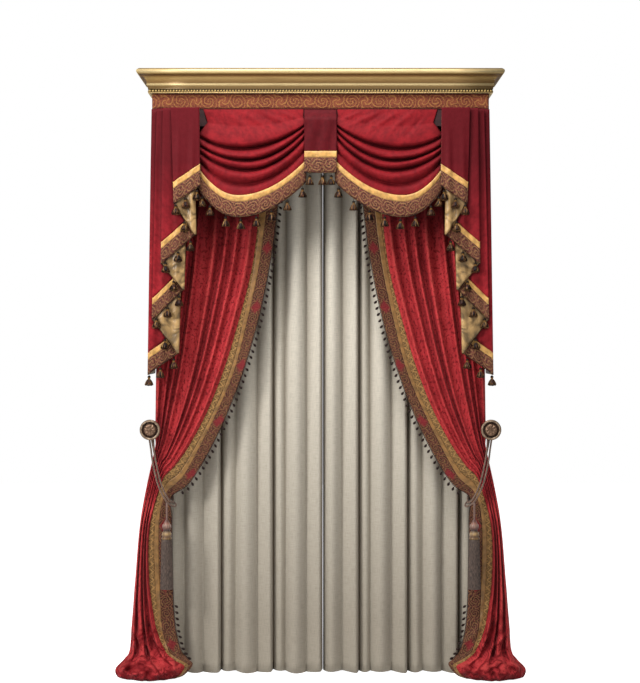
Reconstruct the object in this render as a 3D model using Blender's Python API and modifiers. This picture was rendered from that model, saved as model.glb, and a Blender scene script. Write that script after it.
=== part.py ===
"""A pair of tied-back curtains with swags, stepped side cascades, cream inner curtains and a gilt cornice.

Metres, +Z up. The wall is the plane y = 0 and the window treatment hangs in front of it, at y < 0.
The origin is the middle of the top board's back face, where the treatment is fixed to the wall.
Heights in the tables are above the floor, and places across are distances from the middle line.
"""

import bmesh
import bpy
from math import cos, pi, radians, sin
from mathutils import Vector

GAP = 0.0003                    # between pieces that touch
CLOTH = 0.0016                  # velvet and curtain cloth
TRIM = 0.0018                   # gold bands and woven borders
LINING = 0.0010

# Pelmet box
BOARD_TOP = 2.753               # height of the top board's upper face
BOARD_THICK = 0.018
BOX_HALF_WIDTH = 0.755
BOX_DEPTH = 0.300
PANEL_THICK = 0.015
FASCIA_BOTTOM = 2.505
RETURN_BOTTOM = 2.590
MOUNT_HEIGHT = BOARD_TOP - BOARD_THICK / 2
BOARD_UNDER = BOARD_TOP - BOARD_THICK

# Moulding on the box, and the woven galloon below it
MOULDING_BOTTOM = 2.651
MOULDING_HEIGHT = 0.1045
MOULDING_TOP_OUT = 0.0560       # how far its flat top stands out
ROLL_OUT = 0.0535               # centre of the roll at the top
ROLL_UP = 0.0905
ROLL_RADIUS = 0.0125
COVE_OUT = 0.0500               # centre of the cove below it
COVE_UP = 0.0400
COVE_REACH = 0.0265
COVE_RISE = 0.0360
MOULDING_FOOT = [
    # projection, height: fillet, ogee, carved hollow and edge
    (0.0240, 0.0395), (0.0240, 0.0330), (0.0215, 0.0310), (0.0195, 0.0175),
    (0.0165, 0.0150), (0.0165, 0.0040), (0.0185, 0.0030), (0.0185, 0.0), (0.0, 0.0),
]
GALLOON_HEIGHT = 0.070
GALLOON_BOTTOM = MOULDING_BOTTOM - GAP - GALLOON_HEIGHT
HEADING = GALLOON_BOTTOM - GAP  # height where the swags, cascades and the tab start

GOLD_BAND = 0.029               # gold band of swags, cascades and tab
BORDER = 0.066                  # their woven border
HEADER = 0.004                  # the fringe's woven header
HEADER_THICK = 0.0024

# Tassels of the swags and cascades: distance down, half width, half depth
TASSEL_LEVELS = (
    (0.010, 0.0030, 0.0024),
    (0.022, 0.0100, 0.0065),
    (0.052, 0.0165, 0.0075),
)
TASSEL_ROOT = 0.007             # half the length of header that a tassel grows from
CASCADE_LEAN = 0.28             # how far the cascades' tassels lean out from the next layer
BEAD_LEVELS = (
    (0.007, 0.0024, 0.0020),
    (0.026, 0.0080, 0.0065),
)

MATERIALS = {
    "gilt_wood": ((0.60, 0.42, 0.13), 0.35, 0.6),
    "painted_board": ((0.30, 0.22, 0.14), 0.7, 0.0),
    "red_velvet": ((0.38, 0.025, 0.03), 0.75, 0.0),
    "cream_cloth": ((0.62, 0.56, 0.48), 0.85, 0.0),
    "gold_braid": ((0.62, 0.36, 0.10), 0.6, 0.1),
    "woven_border": ((0.26, 0.11, 0.08), 0.8, 0.0),
    "gold_lining": ((0.60, 0.44, 0.26), 0.6, 0.0),
    "dark_fringe": ((0.05, 0.02, 0.015), 0.6, 0.0),
    "bronze": ((0.30, 0.20, 0.13), 0.4, 0.8),
    "taupe_cord": ((0.25, 0.17, 0.12), 0.75, 0.0),
}


def clear_scene():
    for old in list(bpy.data.objects):
        bpy.data.objects.remove(old, do_unlink=True)


def new_collection(name):
    collection = bpy.data.collections.new(name)
    bpy.context.scene.collection.children.link(collection)
    return collection


def material(name):
    found = bpy.data.materials.get(name)
    if found:
        return found
    colour, roughness, metallic = MATERIALS[name]
    made = bpy.data.materials.new(name)
    made.use_nodes = True
    shader = made.node_tree.nodes["Principled BSDF"]
    shader.inputs["Base Color"].default_value = (*colour, 1.0)
    shader.inputs["Roughness"].default_value = roughness
    shader.inputs["Metallic"].default_value = metallic
    return made


def add_object(name, data, material_name):
    data.materials.append(material(material_name))
    made = bpy.data.objects.new(name, data)
    bpy.data.collections["window_treatment"].objects.link(made)
    return made


def mesh_object(name, bm, material_name):
    mesh = bpy.data.meshes.new(name)
    bm.to_mesh(mesh)
    bm.free()
    return add_object(name, mesh, material_name)


def place(x, y, height):
    """World position of a point given by its height above the floor."""
    return Vector((x, y, height - MOUNT_HEIGHT))


def mix(a, b, t):
    return a + (b - a) * t


def between(table, column, v):
    """Value of a table's column at row v, which may lie between two rows."""
    low = min(int(v), len(table) - 2)
    return mix(table[low][column], table[low + 1][column], v - low)


def spread(start, end, count):
    return [mix(start, end, i / count) for i in range(count + 1)]


def face_outward(bm):
    """Turns every face of a closed mesh to point out."""
    bmesh.ops.recalc_face_normals(bm, faces=bm.faces[:])
    if bm.calc_volume(signed=True) < 0:
        bmesh.ops.reverse_faces(bm, faces=bm.faces[:])


STEP_ACROSS = 0.01              # steps on a surface that give its slope
STEP_DOWN = 0.02


def behind(surface, u, v, thickness):
    """Point behind the cloth's outside, square to it."""
    across = surface(u + STEP_ACROSS, v) - surface(u - STEP_ACROSS, v)
    down = surface(u, v + STEP_DOWN) - surface(u, v - STEP_DOWN)
    return surface(u, v) + across.cross(down).normalized() * thickness


def sheet(name, surface, us, vs, thickness, material_name, side=1, back=behind):
    """Cloth through surface(u, v), its outside facing the room, grown backwards to its thickness."""
    bm = bmesh.new()
    bmesh.ops.create_grid(bm, x_segments=len(us) - 1, y_segments=len(vs) - 1, size=0.5)
    bmesh.ops.triangulate(bm, faces=bm.faces[:], quad_method="FIXED")
    fronts = bm.verts[:]
    grown = bmesh.ops.extrude_face_region(bm, geom=bm.faces[:])
    backs = [item for item in grown["geom"] if isinstance(item, bmesh.types.BMVert)]
    start = {tuple(vert.co): vert for vert in backs}
    places = [(u, v) for v in vs for u in us]
    pairs = [(front, start[tuple(front.co)]) for front in fronts]
    for (front, rear), (u, v) in zip(pairs, places):
        point = surface(u, v)
        deep = back(surface, u, v, thickness)
        front.co = Vector((side * point.x, point.y, point.z))
        rear.co = Vector((side * deep.x, deep.y, deep.z))
    face_outward(bm)
    return mesh_object(name, bm, material_name)


def box(name, centre, size, material_name):
    bm = bmesh.new()
    bmesh.ops.create_cube(bm, size=1.0)
    bmesh.ops.scale(bm, vec=Vector(size), verts=bm.verts)
    made = mesh_object(name, bm, material_name)
    made.location = centre
    return made


def turned(name, profile, location, steps, material_name, axis_y=False):
    """A turned piece: (radius, height) points down the outer side, turned round its axis."""
    bm = bmesh.new()
    points = [bm.verts.new((radius, 0.0, height)) for radius, height in profile]
    for first, second in zip(points, points[1:]):
        bm.edges.new((first, second))
    made = mesh_object(name, bm, material_name)
    screw = made.modifiers.new("Turn", "SCREW")
    screw.steps = steps
    screw.render_steps = steps
    screw.use_merge_vertices = True
    screw.merge_threshold = 0.00005
    made.location = location
    if axis_y:
        made.rotation_euler.x = radians(90)
    return made


# Pelmet box, moulding and galloon

def build_box():
    inner_half = BOX_HALF_WIDTH - PANEL_THICK - GAP
    depth_inside = BOX_DEPTH - PANEL_THICK - GAP
    box("top_board", place(0, -depth_inside / 2, BOARD_TOP - BOARD_THICK / 2),
        (2 * inner_half, depth_inside, BOARD_THICK), "painted_board")
    height = BOARD_TOP - FASCIA_BOTTOM
    box("fascia_board", place(0, -BOX_DEPTH + PANEL_THICK / 2, BOARD_TOP - height / 2),
        (2 * BOX_HALF_WIDTH, PANEL_THICK, height), "painted_board")
    height = BOARD_TOP - RETURN_BOTTOM
    for side, word in ((-1, "left"), (1, "right")):
        box("return_board_" + word,
            place(side * (BOX_HALF_WIDTH - PANEL_THICK / 2), -depth_inside / 2, BOARD_TOP - height / 2),
            (PANEL_THICK, depth_inside, height), "painted_board")


def moulding_profile():
    """Section of the moulding, from the back edge at the top down its face: projection, height."""
    points = [(0.0, MOULDING_HEIGHT), (MOULDING_TOP_OUT, MOULDING_HEIGHT)]
    for step in range(6):
        angle = radians(75 - 30 * step)
        points.append((ROLL_OUT + ROLL_RADIUS * cos(angle), ROLL_UP + ROLL_RADIUS * sin(angle)))
    for step in range(5):
        angle = radians(90 - 20 * step)
        points.append((COVE_OUT - COVE_REACH * cos(angle), COVE_UP + COVE_RISE * sin(angle)))
    points += MOULDING_FOOT
    return points


def moulding_run(name, first, last):
    """A mitred run: the section is drawn at its first end and extruded to its last end."""
    profile = moulding_profile()
    bm = bmesh.new()
    start = bm.faces.new([bm.verts.new(first(p, h)) for p, h in profile])
    grown = bmesh.ops.extrude_face_region(bm, geom=[start])
    ends = [item for item in grown["geom"] if isinstance(item, bmesh.types.BMVert)]
    moved = {tuple(first(p, h)): last(p, h) for p, h in profile}
    for vert in ends:
        nearest = min(moved, key=lambda key: (Vector(key) - vert.co).length)
        vert.co = moved[nearest]
    face_outward(bm)
    return mesh_object(name, bm, "gilt_wood")


def build_moulding():
    front = BOX_DEPTH + GAP
    half = BOX_HALF_WIDTH + GAP
    moulding_run(
        "cornice_front",
        lambda p, h: place(-half - p, -front - p, MOULDING_BOTTOM + h),
        lambda p, h: place(half + p, -front - p, MOULDING_BOTTOM + h))
    for side, word in ((-1, "left"), (1, "right")):
        moulding_run(
            "cornice_return_" + word,
            lambda p, h: place(side * (half + p), 0.0, MOULDING_BOTTOM + h),
            lambda p, h: place(side * (half + p), -front - p + 2 * GAP, MOULDING_BOTTOM + h))


def build_galloon():
    height = GALLOON_BOTTOM + GALLOON_HEIGHT / 2
    half = BOX_HALF_WIDTH + GAP
    box("galloon_front", place(0, -BOX_DEPTH - GAP - TRIM / 2, height),
        (2 * (half + TRIM), TRIM, GALLOON_HEIGHT), "woven_border")
    for side, word in ((-1, "left"), (1, "right")):
        depth = BOX_DEPTH - GAP
        box("galloon_return_" + word, place(side * (half + TRIM / 2), -depth / 2, height),
            (TRIM, depth, GALLOON_HEIGHT), "woven_border")


# Swags

SWAG_INNER, SWAG_LOW, SWAG_PLACE, SWAG_OUTER, SWAG_FORWARD, SWAG_X_IN, SWAG_X_OUT = range(7)
SWAG_ROWS = (
    # inner drop, lowest drop, place of the lowest point, outer drop, forward, inner x, outer x
    (0.000, 0.000, 0.60, 0.000, 0.0006, 0.0760, 0.527),
    (0.035, 0.078, 0.60, 0.060, 0.010, 0.0760, 0.508),
    (0.063, 0.157, 0.63, 0.112, 0.036, 0.0640, 0.546),
    (0.070, 0.180, 0.60, 0.126, 0.015, 0.0640, 0.546),
    (0.081, 0.215, 0.58, 0.152, 0.040, 0.0640, 0.546),
    (0.094, 0.233, 0.56, 0.164, 0.020, 0.0640, 0.547),
    (0.108, 0.256, 0.53, 0.179, 0.044, 0.0640, 0.547),
    (0.124, 0.277, 0.55, 0.194, 0.024, 0.0640, 0.547),
    (0.152, 0.309, 0.56, 0.215, 0.050, 0.0640, 0.548),
    (0.185, 0.340, 0.60, 0.235, 0.032, 0.0640, 0.548),
    (0.229, 0.390, 0.63, 0.265, 0.042, 0.0640, 0.548),
)
SWAG_HEM = len(SWAG_ROWS) - 1
SWAG_END_DEPTH = 0.22           # share of the folds' depth that is left at the swag's ends
SWAG_ROUNDNESS = 0.6            # below 1 the folds stay deep for more of the width
SWAG_CLEAR = 0.0022             # the folds hang this far clear of the fascia


def swag_point(u, v):
    """u runs from the tab (0) to the cascade (1), v down the rows; past the last row it is the trim."""
    row = min(v, SWAG_HEM)
    inner = between(SWAG_ROWS, SWAG_INNER, row)
    low = between(SWAG_ROWS, SWAG_LOW, row)
    lowest = between(SWAG_ROWS, SWAG_PLACE, row)
    outer = between(SWAG_ROWS, SWAG_OUTER, row)
    forward = between(SWAG_ROWS, SWAG_FORWARD, row)
    if u < lowest:
        drop = low + (inner - low) * (1 - u / lowest) ** 2
    else:
        drop = low + (outer - low) * ((u - lowest) / (1 - lowest)) ** 2
    drop += max(v - SWAG_HEM, 0.0)
    x = mix(between(SWAG_ROWS, SWAG_X_IN, row), between(SWAG_ROWS, SWAG_X_OUT, row), u)
    belly = mix(SWAG_END_DEPTH, 1.0, max(sin(pi * u), 0.0) ** SWAG_ROUNDNESS)
    clear = SWAG_CLEAR if row > 1 else 0.0
    return place(x, -BOX_DEPTH - GAP - CLOTH - clear - forward * belly, HEADING - drop)


SWAG_FRINGE_PLACES = (0.035, 0.175, 0.32, 0.46, 0.605, 0.745, 0.89, 0.965)


def build_swag(side, word):
    us = spread(0.0, 1.0, 14)
    sheet("swag_" + word, swag_point, us, spread(0.0, SWAG_HEM, SWAG_HEM), CLOTH, "red_velvet", side)
    start = SWAG_HEM + GAP
    sheet("swag_gold_" + word, swag_point, us, (start, start + GOLD_BAND), TRIM, "gold_braid", side)
    start += GOLD_BAND + GAP
    end = start + BORDER
    sheet("swag_border_" + word, swag_point, us, (start, start + BORDER / 2, end), TRIM, "woven_border", side)
    path = lambda u: swag_point(u, end + 2 * GAP)
    hanging_fringe("swag_fringe_" + word, path, us, SWAG_FRINGE_PLACES, side)


# Fringes: a woven header with tassels or beads grown from its underside

def lock(bm, face, corners, down, across, outward, levels):
    """Grows one lock from a header face: each level is (distance, half width, half depth)."""
    start = face.calc_center_median()
    for distance, half_width, half_depth in levels:
        before = [(vert.co.copy(), corners[vert]) for vert in face.verts]
        grown = bmesh.ops.extrude_discrete_faces(bm, faces=[face])
        face = grown["faces"][0]
        corners = {}
        for vert in face.verts:
            corners[vert] = min(before, key=lambda item: (item[0] - vert.co).length)[1]
        for vert, (sideways, ahead) in corners.items():
            vert.co = (start + down * distance
                       + across * half_width * sideways + outward * half_depth * ahead)


def header(bm, points, downs, forwards):
    """The header's three-sided run; gives back each underside with its corners' signs."""
    rings = []
    for point, down, forward in zip(points, downs, forwards):
        middle = point - forward * HEADER_THICK / 2
        low = middle + down * HEADER
        ring = (middle, low + forward * HEADER_THICK / 2, low - forward * HEADER_THICK / 2)
        rings.append([bm.verts.new(corner) for corner in ring])
    undersides = []
    for ring, following in zip(rings, rings[1:]):
        for k in range(3):
            made = bm.faces.new((ring[k], ring[(k + 1) % 3], following[(k + 1) % 3], following[k]))
            if k == 1:
                corners = {ring[1]: (-1, 1), ring[2]: (-1, -1), following[1]: (1, 1), following[2]: (1, -1)}
                undersides.append((made, corners))
    bm.faces.new(rings[0][::-1])
    bm.faces.new(rings[-1])
    bmesh.ops.recalc_face_normals(bm, faces=bm.faces[:])
    return undersides


def fringe(name, points, lock_cells, downs, forwards, lock_downs, levels):
    """A header along the points, with one lock on each cell named in lock_cells."""
    bm = bmesh.new()
    undersides = header(bm, points, downs, forwards)
    for cell, down in zip(lock_cells, lock_downs):
        face, corners = undersides[cell]
        along = points[cell + 1] - points[cell]
        along -= down * along.dot(down)
        along.normalize()
        outward = forwards[cell] - down * forwards[cell].dot(down)
        lock(bm, face, corners, down, along, outward.normalized(), levels)
    return mesh_object(name, bm, "dark_fringe")


def hanging_fringe(name, path, columns, places, side=1):
    """A fringe below a hem of straight stretches, with one tassel at each place along it."""
    root = TASSEL_ROOT / (path(1.0) - path(0.0)).length
    stops = [(column, False) for column in columns if all(abs(column - spot) > root for spot in places)]
    for spot in places:
        stops += [(spot - root, True), (spot + root, False)]
    stops.sort()
    forward = Vector((0, -1, 0))
    down = Vector((0, 0, -1))
    points = []
    for stop, _ in stops:
        low = max(column for column in columns[:-1] if column <= stop or column == columns[0])
        high = min(column for column in columns if column > low)
        point = path(low).lerp(path(high), (stop - low) / (high - low))
        points.append(Vector((side * point.x, point.y, point.z)))
    cells = [index for index, stop in enumerate(stops) if stop[1]]
    count = len(points)
    return fringe(name, points, cells, [down] * count, [forward] * count,
                  [down] * len(places), TASSEL_LEVELS)


# Centre tab between the swags

TAB_HALF_WIDTH = 0.0725
TAB_DROP = 0.191
TAB_SLOPE = 0.055               # the tab slopes forward over this much of its drop
TAB_FORWARD = 0.030
TAB_FRINGE_PLACES = (0.17, 0.56, 0.83)


def tab_point(u, v):
    """u runs across from left to right, v is the distance down."""
    forward = TAB_FORWARD * min(v / TAB_SLOPE, 1.0)
    x = mix(-TAB_HALF_WIDTH, TAB_HALF_WIDTH, u)
    return place(x, -BOX_DEPTH - GAP - CLOTH - forward, HEADING - v)


def build_tab():
    us = spread(0.0, 1.0, 2)
    sheet("tab", tab_point, us, (0.0, TAB_SLOPE / 2, TAB_SLOPE, TAB_DROP), CLOTH, "red_velvet")
    start = TAB_DROP + GAP
    sheet("tab_gold", tab_point, us, (start, start + GOLD_BAND), TRIM, "gold_braid")
    start += GOLD_BAND + GAP
    sheet("tab_border", tab_point, us, (start, start + BORDER), TRIM, "woven_border")
    path = lambda u: tab_point(u, start + BORDER + GAP)
    hanging_fringe("tab_fringe", path, us, TAB_FRINGE_PLACES)


# Side cascades: one cloth folded to and fro, each layer longer than the one in front

LAYER = 0.0085                  # from one layer to the next one behind
FRONT_LAYER = 0.3552            # how far the first layer stands from the wall
TURN = 0.0035                   # how far a fold's round end stands out

CASCADE_TOP_X, CASCADE_HEM_X, CASCADE_HEM = range(3)
CASCADE_FOLDS = (
    # x at the heading, x at the hem, height of the hem
    (0.540, 0.536, 2.229),
    (0.664, 0.652, 2.149),
    (0.571, 0.562, 2.010),
    (0.703, 0.710, 1.882),
    (0.596, 0.616, 1.765),
    (0.731, 0.752, 1.632),
    (0.612, 0.642, 1.480),
    (0.7605, 0.7780, 1.386),
)
CORNER = len(CASCADE_FOLDS) - 1
WALL_END = 0.004                # the outer layer turns back to just in front of the wall


def cascade_plan():
    """Places along the folded cloth: (fold position, step outward, layer, distance from the wall)."""
    plan = []
    for layer in range(CORNER):
        y = FRONT_LAYER - layer * LAYER
        plan += [(layer, 0.0, y), (layer + 0.5, 0.0, y), (layer + 1, 0.0, y)]
        if layer < CORNER - 1:
            way = 1 if layer % 2 == 0 else -1
            plan.append((layer + 1, way * TURN, y - LAYER / 2))
    last = FRONT_LAYER - (CORNER - 1) * LAYER
    plan += [(CORNER, 0.0, mix(last, WALL_END, 0.5)), (CORNER, 0.0, WALL_END)]
    return plan


CASCADE_PLAN = cascade_plan()
LAST_PLACE = len(CASCADE_PLAN) - 1


def cascade_flat(index, v):
    """Point of the cloth's face at one place of the plan; v runs from the heading (0) to the hem (1)."""
    fold, outward, y = CASCADE_PLAN[index]
    top_x = between(CASCADE_FOLDS, CASCADE_TOP_X, fold)
    hem_x = between(CASCADE_FOLDS, CASCADE_HEM_X, fold)
    return Vector((mix(top_x, hem_x, v) + outward, -y, 0.0))


def cascade_normal(index, v):
    """Outside direction of the folded cloth, seen from above."""
    before = cascade_flat(max(index - 1, 0), v)
    after = cascade_flat(min(index + 1, LAST_PLACE), v)
    along = (after - before).normalized()
    return Vector((along.y, -along.x, 0.0))


def cascade_point(u, v, inset=0.0):
    """v up to 1 is the share of the way to the hem; inset moves the point behind the face."""
    hem = between(CASCADE_FOLDS, CASCADE_HEM, CASCADE_PLAN[u][0])
    flat = cascade_flat(u, v) - cascade_normal(u, v) * inset
    return place(flat.x, flat.y, mix(HEADING, hem, v))


def cascade_back(surface, u, v, thickness):
    """Point behind the folded cloth, level with its face."""
    return surface(u, v, thickness)


def cascade_strip(above):
    """Surface whose v is the distance above the hem, for the trims."""
    def surface(u, v, inset=0.0):
        hem = between(CASCADE_FOLDS, CASCADE_HEM, CASCADE_PLAN[u][0])
        return cascade_point(u, 1.0 - (above + v) / (HEADING - hem), inset)
    return surface


CASCADE_TASSELS = (
    # layer, share of the way across it
    (0, 0.12), (0, 0.55), (0, 0.92), (1, 0.50), (2, 0.10), (2, 0.50), (2, 0.90), (3, 0.55),
    (4, 0.12), (4, 0.50), (4, 0.90), (5, 0.50), (6, 0.15), (6, 0.55), (6, 0.93),
)


def build_cascade(side, word):
    us = list(range(LAST_PLACE + 1))
    shares = (0.0, 0.5, 1.0)
    trims = BORDER + GOLD_BAND + 3 * GAP + HEADER

    def cloth(u, v, inset=0.0):
        hem = between(CASCADE_FOLDS, CASCADE_HEM, CASCADE_PLAN[u][0])
        return cascade_point(u, v * (1.0 - trims / (HEADING - hem)), inset)

    def lining(u, v, inset=0.0):
        hem = between(CASCADE_FOLDS, CASCADE_HEM, CASCADE_PLAN[u][0])
        share = v * (1.0 - (HEADER + GAP) / (HEADING - hem))
        return cascade_point(u, share, inset + TRIM + GAP)

    sheet("cascade_" + word, cloth, us, shares, CLOTH, "red_velvet", side, cascade_back)
    sheet("cascade_lining_" + word, lining, us, shares, LINING, "gold_lining", side, cascade_back)
    low = HEADER + GAP
    strip = cascade_strip(0.0)
    sheet("cascade_border_" + word, strip, us, (low + BORDER, low), TRIM, "woven_border", side, cascade_back)
    low += BORDER + GAP
    sheet("cascade_gold_" + word, strip, us, (low + GOLD_BAND, low), TRIM, "gold_braid", side, cascade_back)
    build_cascade_fringe(side, word)


def cascade_hem(position):
    """Point of the hem at a place between two places of the plan, on the header's middle."""
    strip = cascade_strip(0.0)
    low = min(int(position), LAST_PLACE - 1)
    first = strip(low, HEADER, TRIM / 2)
    second = strip(low + 1, HEADER, TRIM / 2)
    return first.lerp(second, position - low)


def layer_position(layer, share):
    """Place in the plan of a point part of the way across one layer."""
    return 4 * layer + 2 * share


def build_cascade_fringe(side, word):
    """One header along the whole folded hem, with the tassels hanging in front of the next layer."""
    stops = [(float(place_index), False) for place_index in range(LAST_PLACE)]
    for layer, share in CASCADE_TASSELS:
        middle = layer_position(layer, share)
        low = int(middle)
        cell = (cascade_hem(low + 1.0) - cascade_hem(float(low))).length
        stops += [(middle - TASSEL_ROOT / cell, True), (middle + TASSEL_ROOT / cell, False)]
    stops.sort()
    points = []
    forwards = []
    for position, _ in stops:
        point = cascade_hem(position)
        points.append(Vector((side * point.x, point.y, point.z)))
        low = min(int(position), LAST_PLACE - 1)
        normal = cascade_normal(low, 1.0).lerp(cascade_normal(low + 1, 1.0), position - low).normalized()
        forwards.append(Vector((side * normal.x, normal.y, 0.0)))
    cells = [index for index, stop in enumerate(stops) if stop[1]]
    down = Vector((0, 0, -1))
    lean = (down + Vector((0, -CASCADE_LEAN, 0))).normalized()
    fringe("cascade_fringe_" + word, points, cells, [down] * len(points), forwards,
           [lean] * len(cells), TASSEL_LEVELS)


# Main curtains

HALF_WAIST_IN = 0.683
HALF_HEAD_IN = 0.162
WAIST_IN_HEIGHT = 0.825
WAIST_OUT = (0.757, 1.054)      # distance from the middle, height
HEAD_OUT = 0.735
CURTAIN_TOP = BOARD_UNDER - GAP
CURTAIN_Y = -0.186
FOLDS = 8
TRIM_RISE = 0.35                # the trims lie this share of a fold's depth forward
EDGE_SPILL = 0.35               # the edges spill over the floor by this share of the middle's spill
EDGE_BOW = 0.038                # how far the inner edge bows towards the middle, as a share of its swing

OUT_X, OUT_Z, IN_X, IN_Z, FOLD, BULGE, SPILL, LIFT, RED_END, LEAF_END, GOLD_END = range(11)


def upper_row(height_share, fold, bulge, red_end, leaf_end, gold_end):
    """Row of the draped part; height_share is 1 at the heading and 0 at the tie."""
    swing = 0.5 * (1 - (1 - height_share) ** 2.7) + 0.5 * height_share ** 0.45
    swing += EDGE_BOW * sin(pi * height_share)
    return (mix(WAIST_OUT[0], HEAD_OUT, height_share), mix(WAIST_OUT[1], CURTAIN_TOP, height_share),
            mix(HALF_WAIST_IN, HALF_HEAD_IN, swing), mix(WAIST_IN_HEIGHT, CURTAIN_TOP, height_share),
            fold, bulge, 0.0, 0.0, red_end, leaf_end, gold_end)


CURTAIN_ROWS = (
    # draped part: height share, depth of the folds, bulge, and the shares of the width
    # where the velvet, the leaf strip and the gold band end
    upper_row(1.00, 0.026, 0.000, 0.850, 0.862, 0.908),
    upper_row(0.84, 0.030, 0.000, 0.850, 0.862, 0.908),
    upper_row(0.68, 0.031, 0.000, 0.850, 0.862, 0.908),
    upper_row(0.54, 0.030, 0.002, 0.850, 0.864, 0.908),
    upper_row(0.41, 0.028, 0.004, 0.820, 0.864, 0.900),
    upper_row(0.29, 0.024, 0.006, 0.796, 0.870, 0.906),
    upper_row(0.18, 0.020, 0.009, 0.758, 0.832, 0.872),
    upper_row(0.09, 0.014, 0.013, 0.690, 0.784, 0.844),
    upper_row(0.03, 0.010, 0.016, 0.612, 0.750, 0.842),
    upper_row(0.00, 0.008, 0.017, 0.590, 0.726, 0.850),
    # fall and floor: outer x, outer height, inner x, inner height, folds, bulge, spill on the
    # floor, how far the cloth's back lies above its face, and the three shares
    (0.804, 0.834, 0.681, 0.743, 0.010, 0.015, 0.000, 0.0, 0.400, 0.520, 0.620),
    (0.829, 0.675, 0.679, 0.629, 0.014, 0.012, 0.000, 0.0, 0.310, 0.470, 0.600),
    (0.848, 0.446, 0.676, 0.446, 0.018, 0.010, 0.000, 0.0, 0.380, 0.540, 0.660),
    (0.864, 0.240, 0.665, 0.240, 0.020, 0.010, 0.004, 0.0, 0.560, 0.640, 0.700),
    (0.873, 0.126, 0.636, 0.126, 0.020, 0.010, 0.024, -0.2, 0.700, 0.740, 0.770),
    (0.896, 0.088, 0.608, 0.094, 0.020, 0.012, 0.052, -0.5, 0.800, 0.835, 0.865),
    (0.934, 0.048, 0.582, 0.066, 0.018, 0.010, 0.084, -0.4, 0.900, 0.922, 0.944),
    (0.928, 0.012, 0.618, 0.020, 0.010, 0.008, 0.096, 0.4, 0.920, 0.940, 0.960),
    (0.902, 0.0005, 0.662, 0.0005, 0.008, 0.004, 0.072, 3.0, 0.920, 0.940, 0.960),
)
LAST_ROW = len(CURTAIN_ROWS) - 1


def fold_wave(position):
    """Straight-sided folds: 0 in a valley, 1 on a crest."""
    share = position % 1.0
    return 1.0 - abs(2.0 * share - 1.0)


def curtain_point(u, v):
    """u runs from the outer edge (0) to the beaded inner edge (1), v down the rows."""
    row = min(max(v, 0.0), LAST_ROW)
    out_x = between(CURTAIN_ROWS, OUT_X, row)
    out_z = between(CURTAIN_ROWS, OUT_Z, row)
    in_x = between(CURTAIN_ROWS, IN_X, row)
    in_z = between(CURTAIN_ROWS, IN_Z, row)
    red_end = between(CURTAIN_ROWS, RED_END, row)
    if u < red_end:
        wave = fold_wave(FOLDS * u / red_end)
    else:
        wave = TRIM_RISE * (u - red_end) / (1.0 - red_end)
    arch = sin(pi * min(max(u, 0.0), 1.0))
    forward = wave * between(CURTAIN_ROWS, FOLD, row)
    forward += between(CURTAIN_ROWS, BULGE, row) * arch
    forward += between(CURTAIN_ROWS, SPILL, row) * mix(EDGE_SPILL, 1.0, arch)
    return place(mix(out_x, in_x, u), CURTAIN_Y - forward, mix(out_z, in_z, u))


def curtain_back(surface, u, v, thickness):
    """Behind the cloth: away from the room, and upwards where its hem is tucked under on the floor."""
    way = Vector((0.0, 1.0, between(CURTAIN_ROWS, LIFT, v))).normalized()
    return surface(u, v) + way * thickness


SEAM = 0.0009                   # left open between two strips, level across


def strip_surface(start_column, end_column):
    """Part of the curtain between two columns of shares, less the seams; s runs from 0 to 1."""
    def surface(s, v):
        row = min(max(v, 0.0), LAST_ROW)
        start = 0.0 if start_column is None else between(CURTAIN_ROWS, start_column, row)
        end = 1.0 if end_column is None else between(CURTAIN_ROWS, end_column, row)
        edge = SEAM / 2 / (between(CURTAIN_ROWS, OUT_X, row) - between(CURTAIN_ROWS, IN_X, row))
        return curtain_point(mix(start + edge, end - edge, s), v)
    return surface


def build_curtain(side, word):
    vs = list(range(LAST_ROW + 1))
    strips = (("curtain_", None, RED_END, "red_velvet", CLOTH, 2 * FOLDS),
              ("leaf_strip_", RED_END, LEAF_END, "woven_border", TRIM, 1),
              ("curtain_gold_", LEAF_END, GOLD_END, "gold_braid", TRIM, 1),
              ("curtain_border_", GOLD_END, None, "woven_border", TRIM, 2))
    for name, start, end, cloth, thickness, count in strips:
        surface = strip_surface(start, end)
        sheet(name + word, surface, spread(0.0, 1.0, count), vs, thickness, cloth, side, curtain_back)
    build_beads(side, word)


# Bead fringe along the inner edge

BEAD_PITCH = 0.040
BEAD_ROOT = 0.006
BEAD_FIRST_ROW = 1.2
BEAD_PAUSE = (8.6, 12.4)        # rows where the edge is folded under and shows no beads
BEAD_LAST_ROW = 15.4


def edge_point(v):
    return curtain_point(1.0, v) + Vector((0.0, TRIM / 2, 0.0))


def edge_frame(v):
    """Point on the inner edge, its direction downwards, and the way out from the cloth."""
    point = edge_point(v)
    along = (edge_point(v + 0.05) - edge_point(v - 0.05)).normalized()
    forward = Vector((0, -1, 0))
    outward = forward.cross(along)
    if outward.x > 0:
        outward = -outward
    return point, along, outward.normalized()


def bead_places():
    """Rows of the beads, evenly spaced along the edge."""
    rows = []
    travelled = 0.0
    v = BEAD_FIRST_ROW
    last = edge_point(v)
    while v < BEAD_LAST_ROW:
        v += 0.01
        here = edge_point(v)
        travelled += (here - last).length
        last = here
        if travelled >= BEAD_PITCH and v < BEAD_LAST_ROW:
            travelled = 0.0
            if not BEAD_PAUSE[0] < v < BEAD_PAUSE[1]:
                rows.append(v)
    return rows


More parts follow.
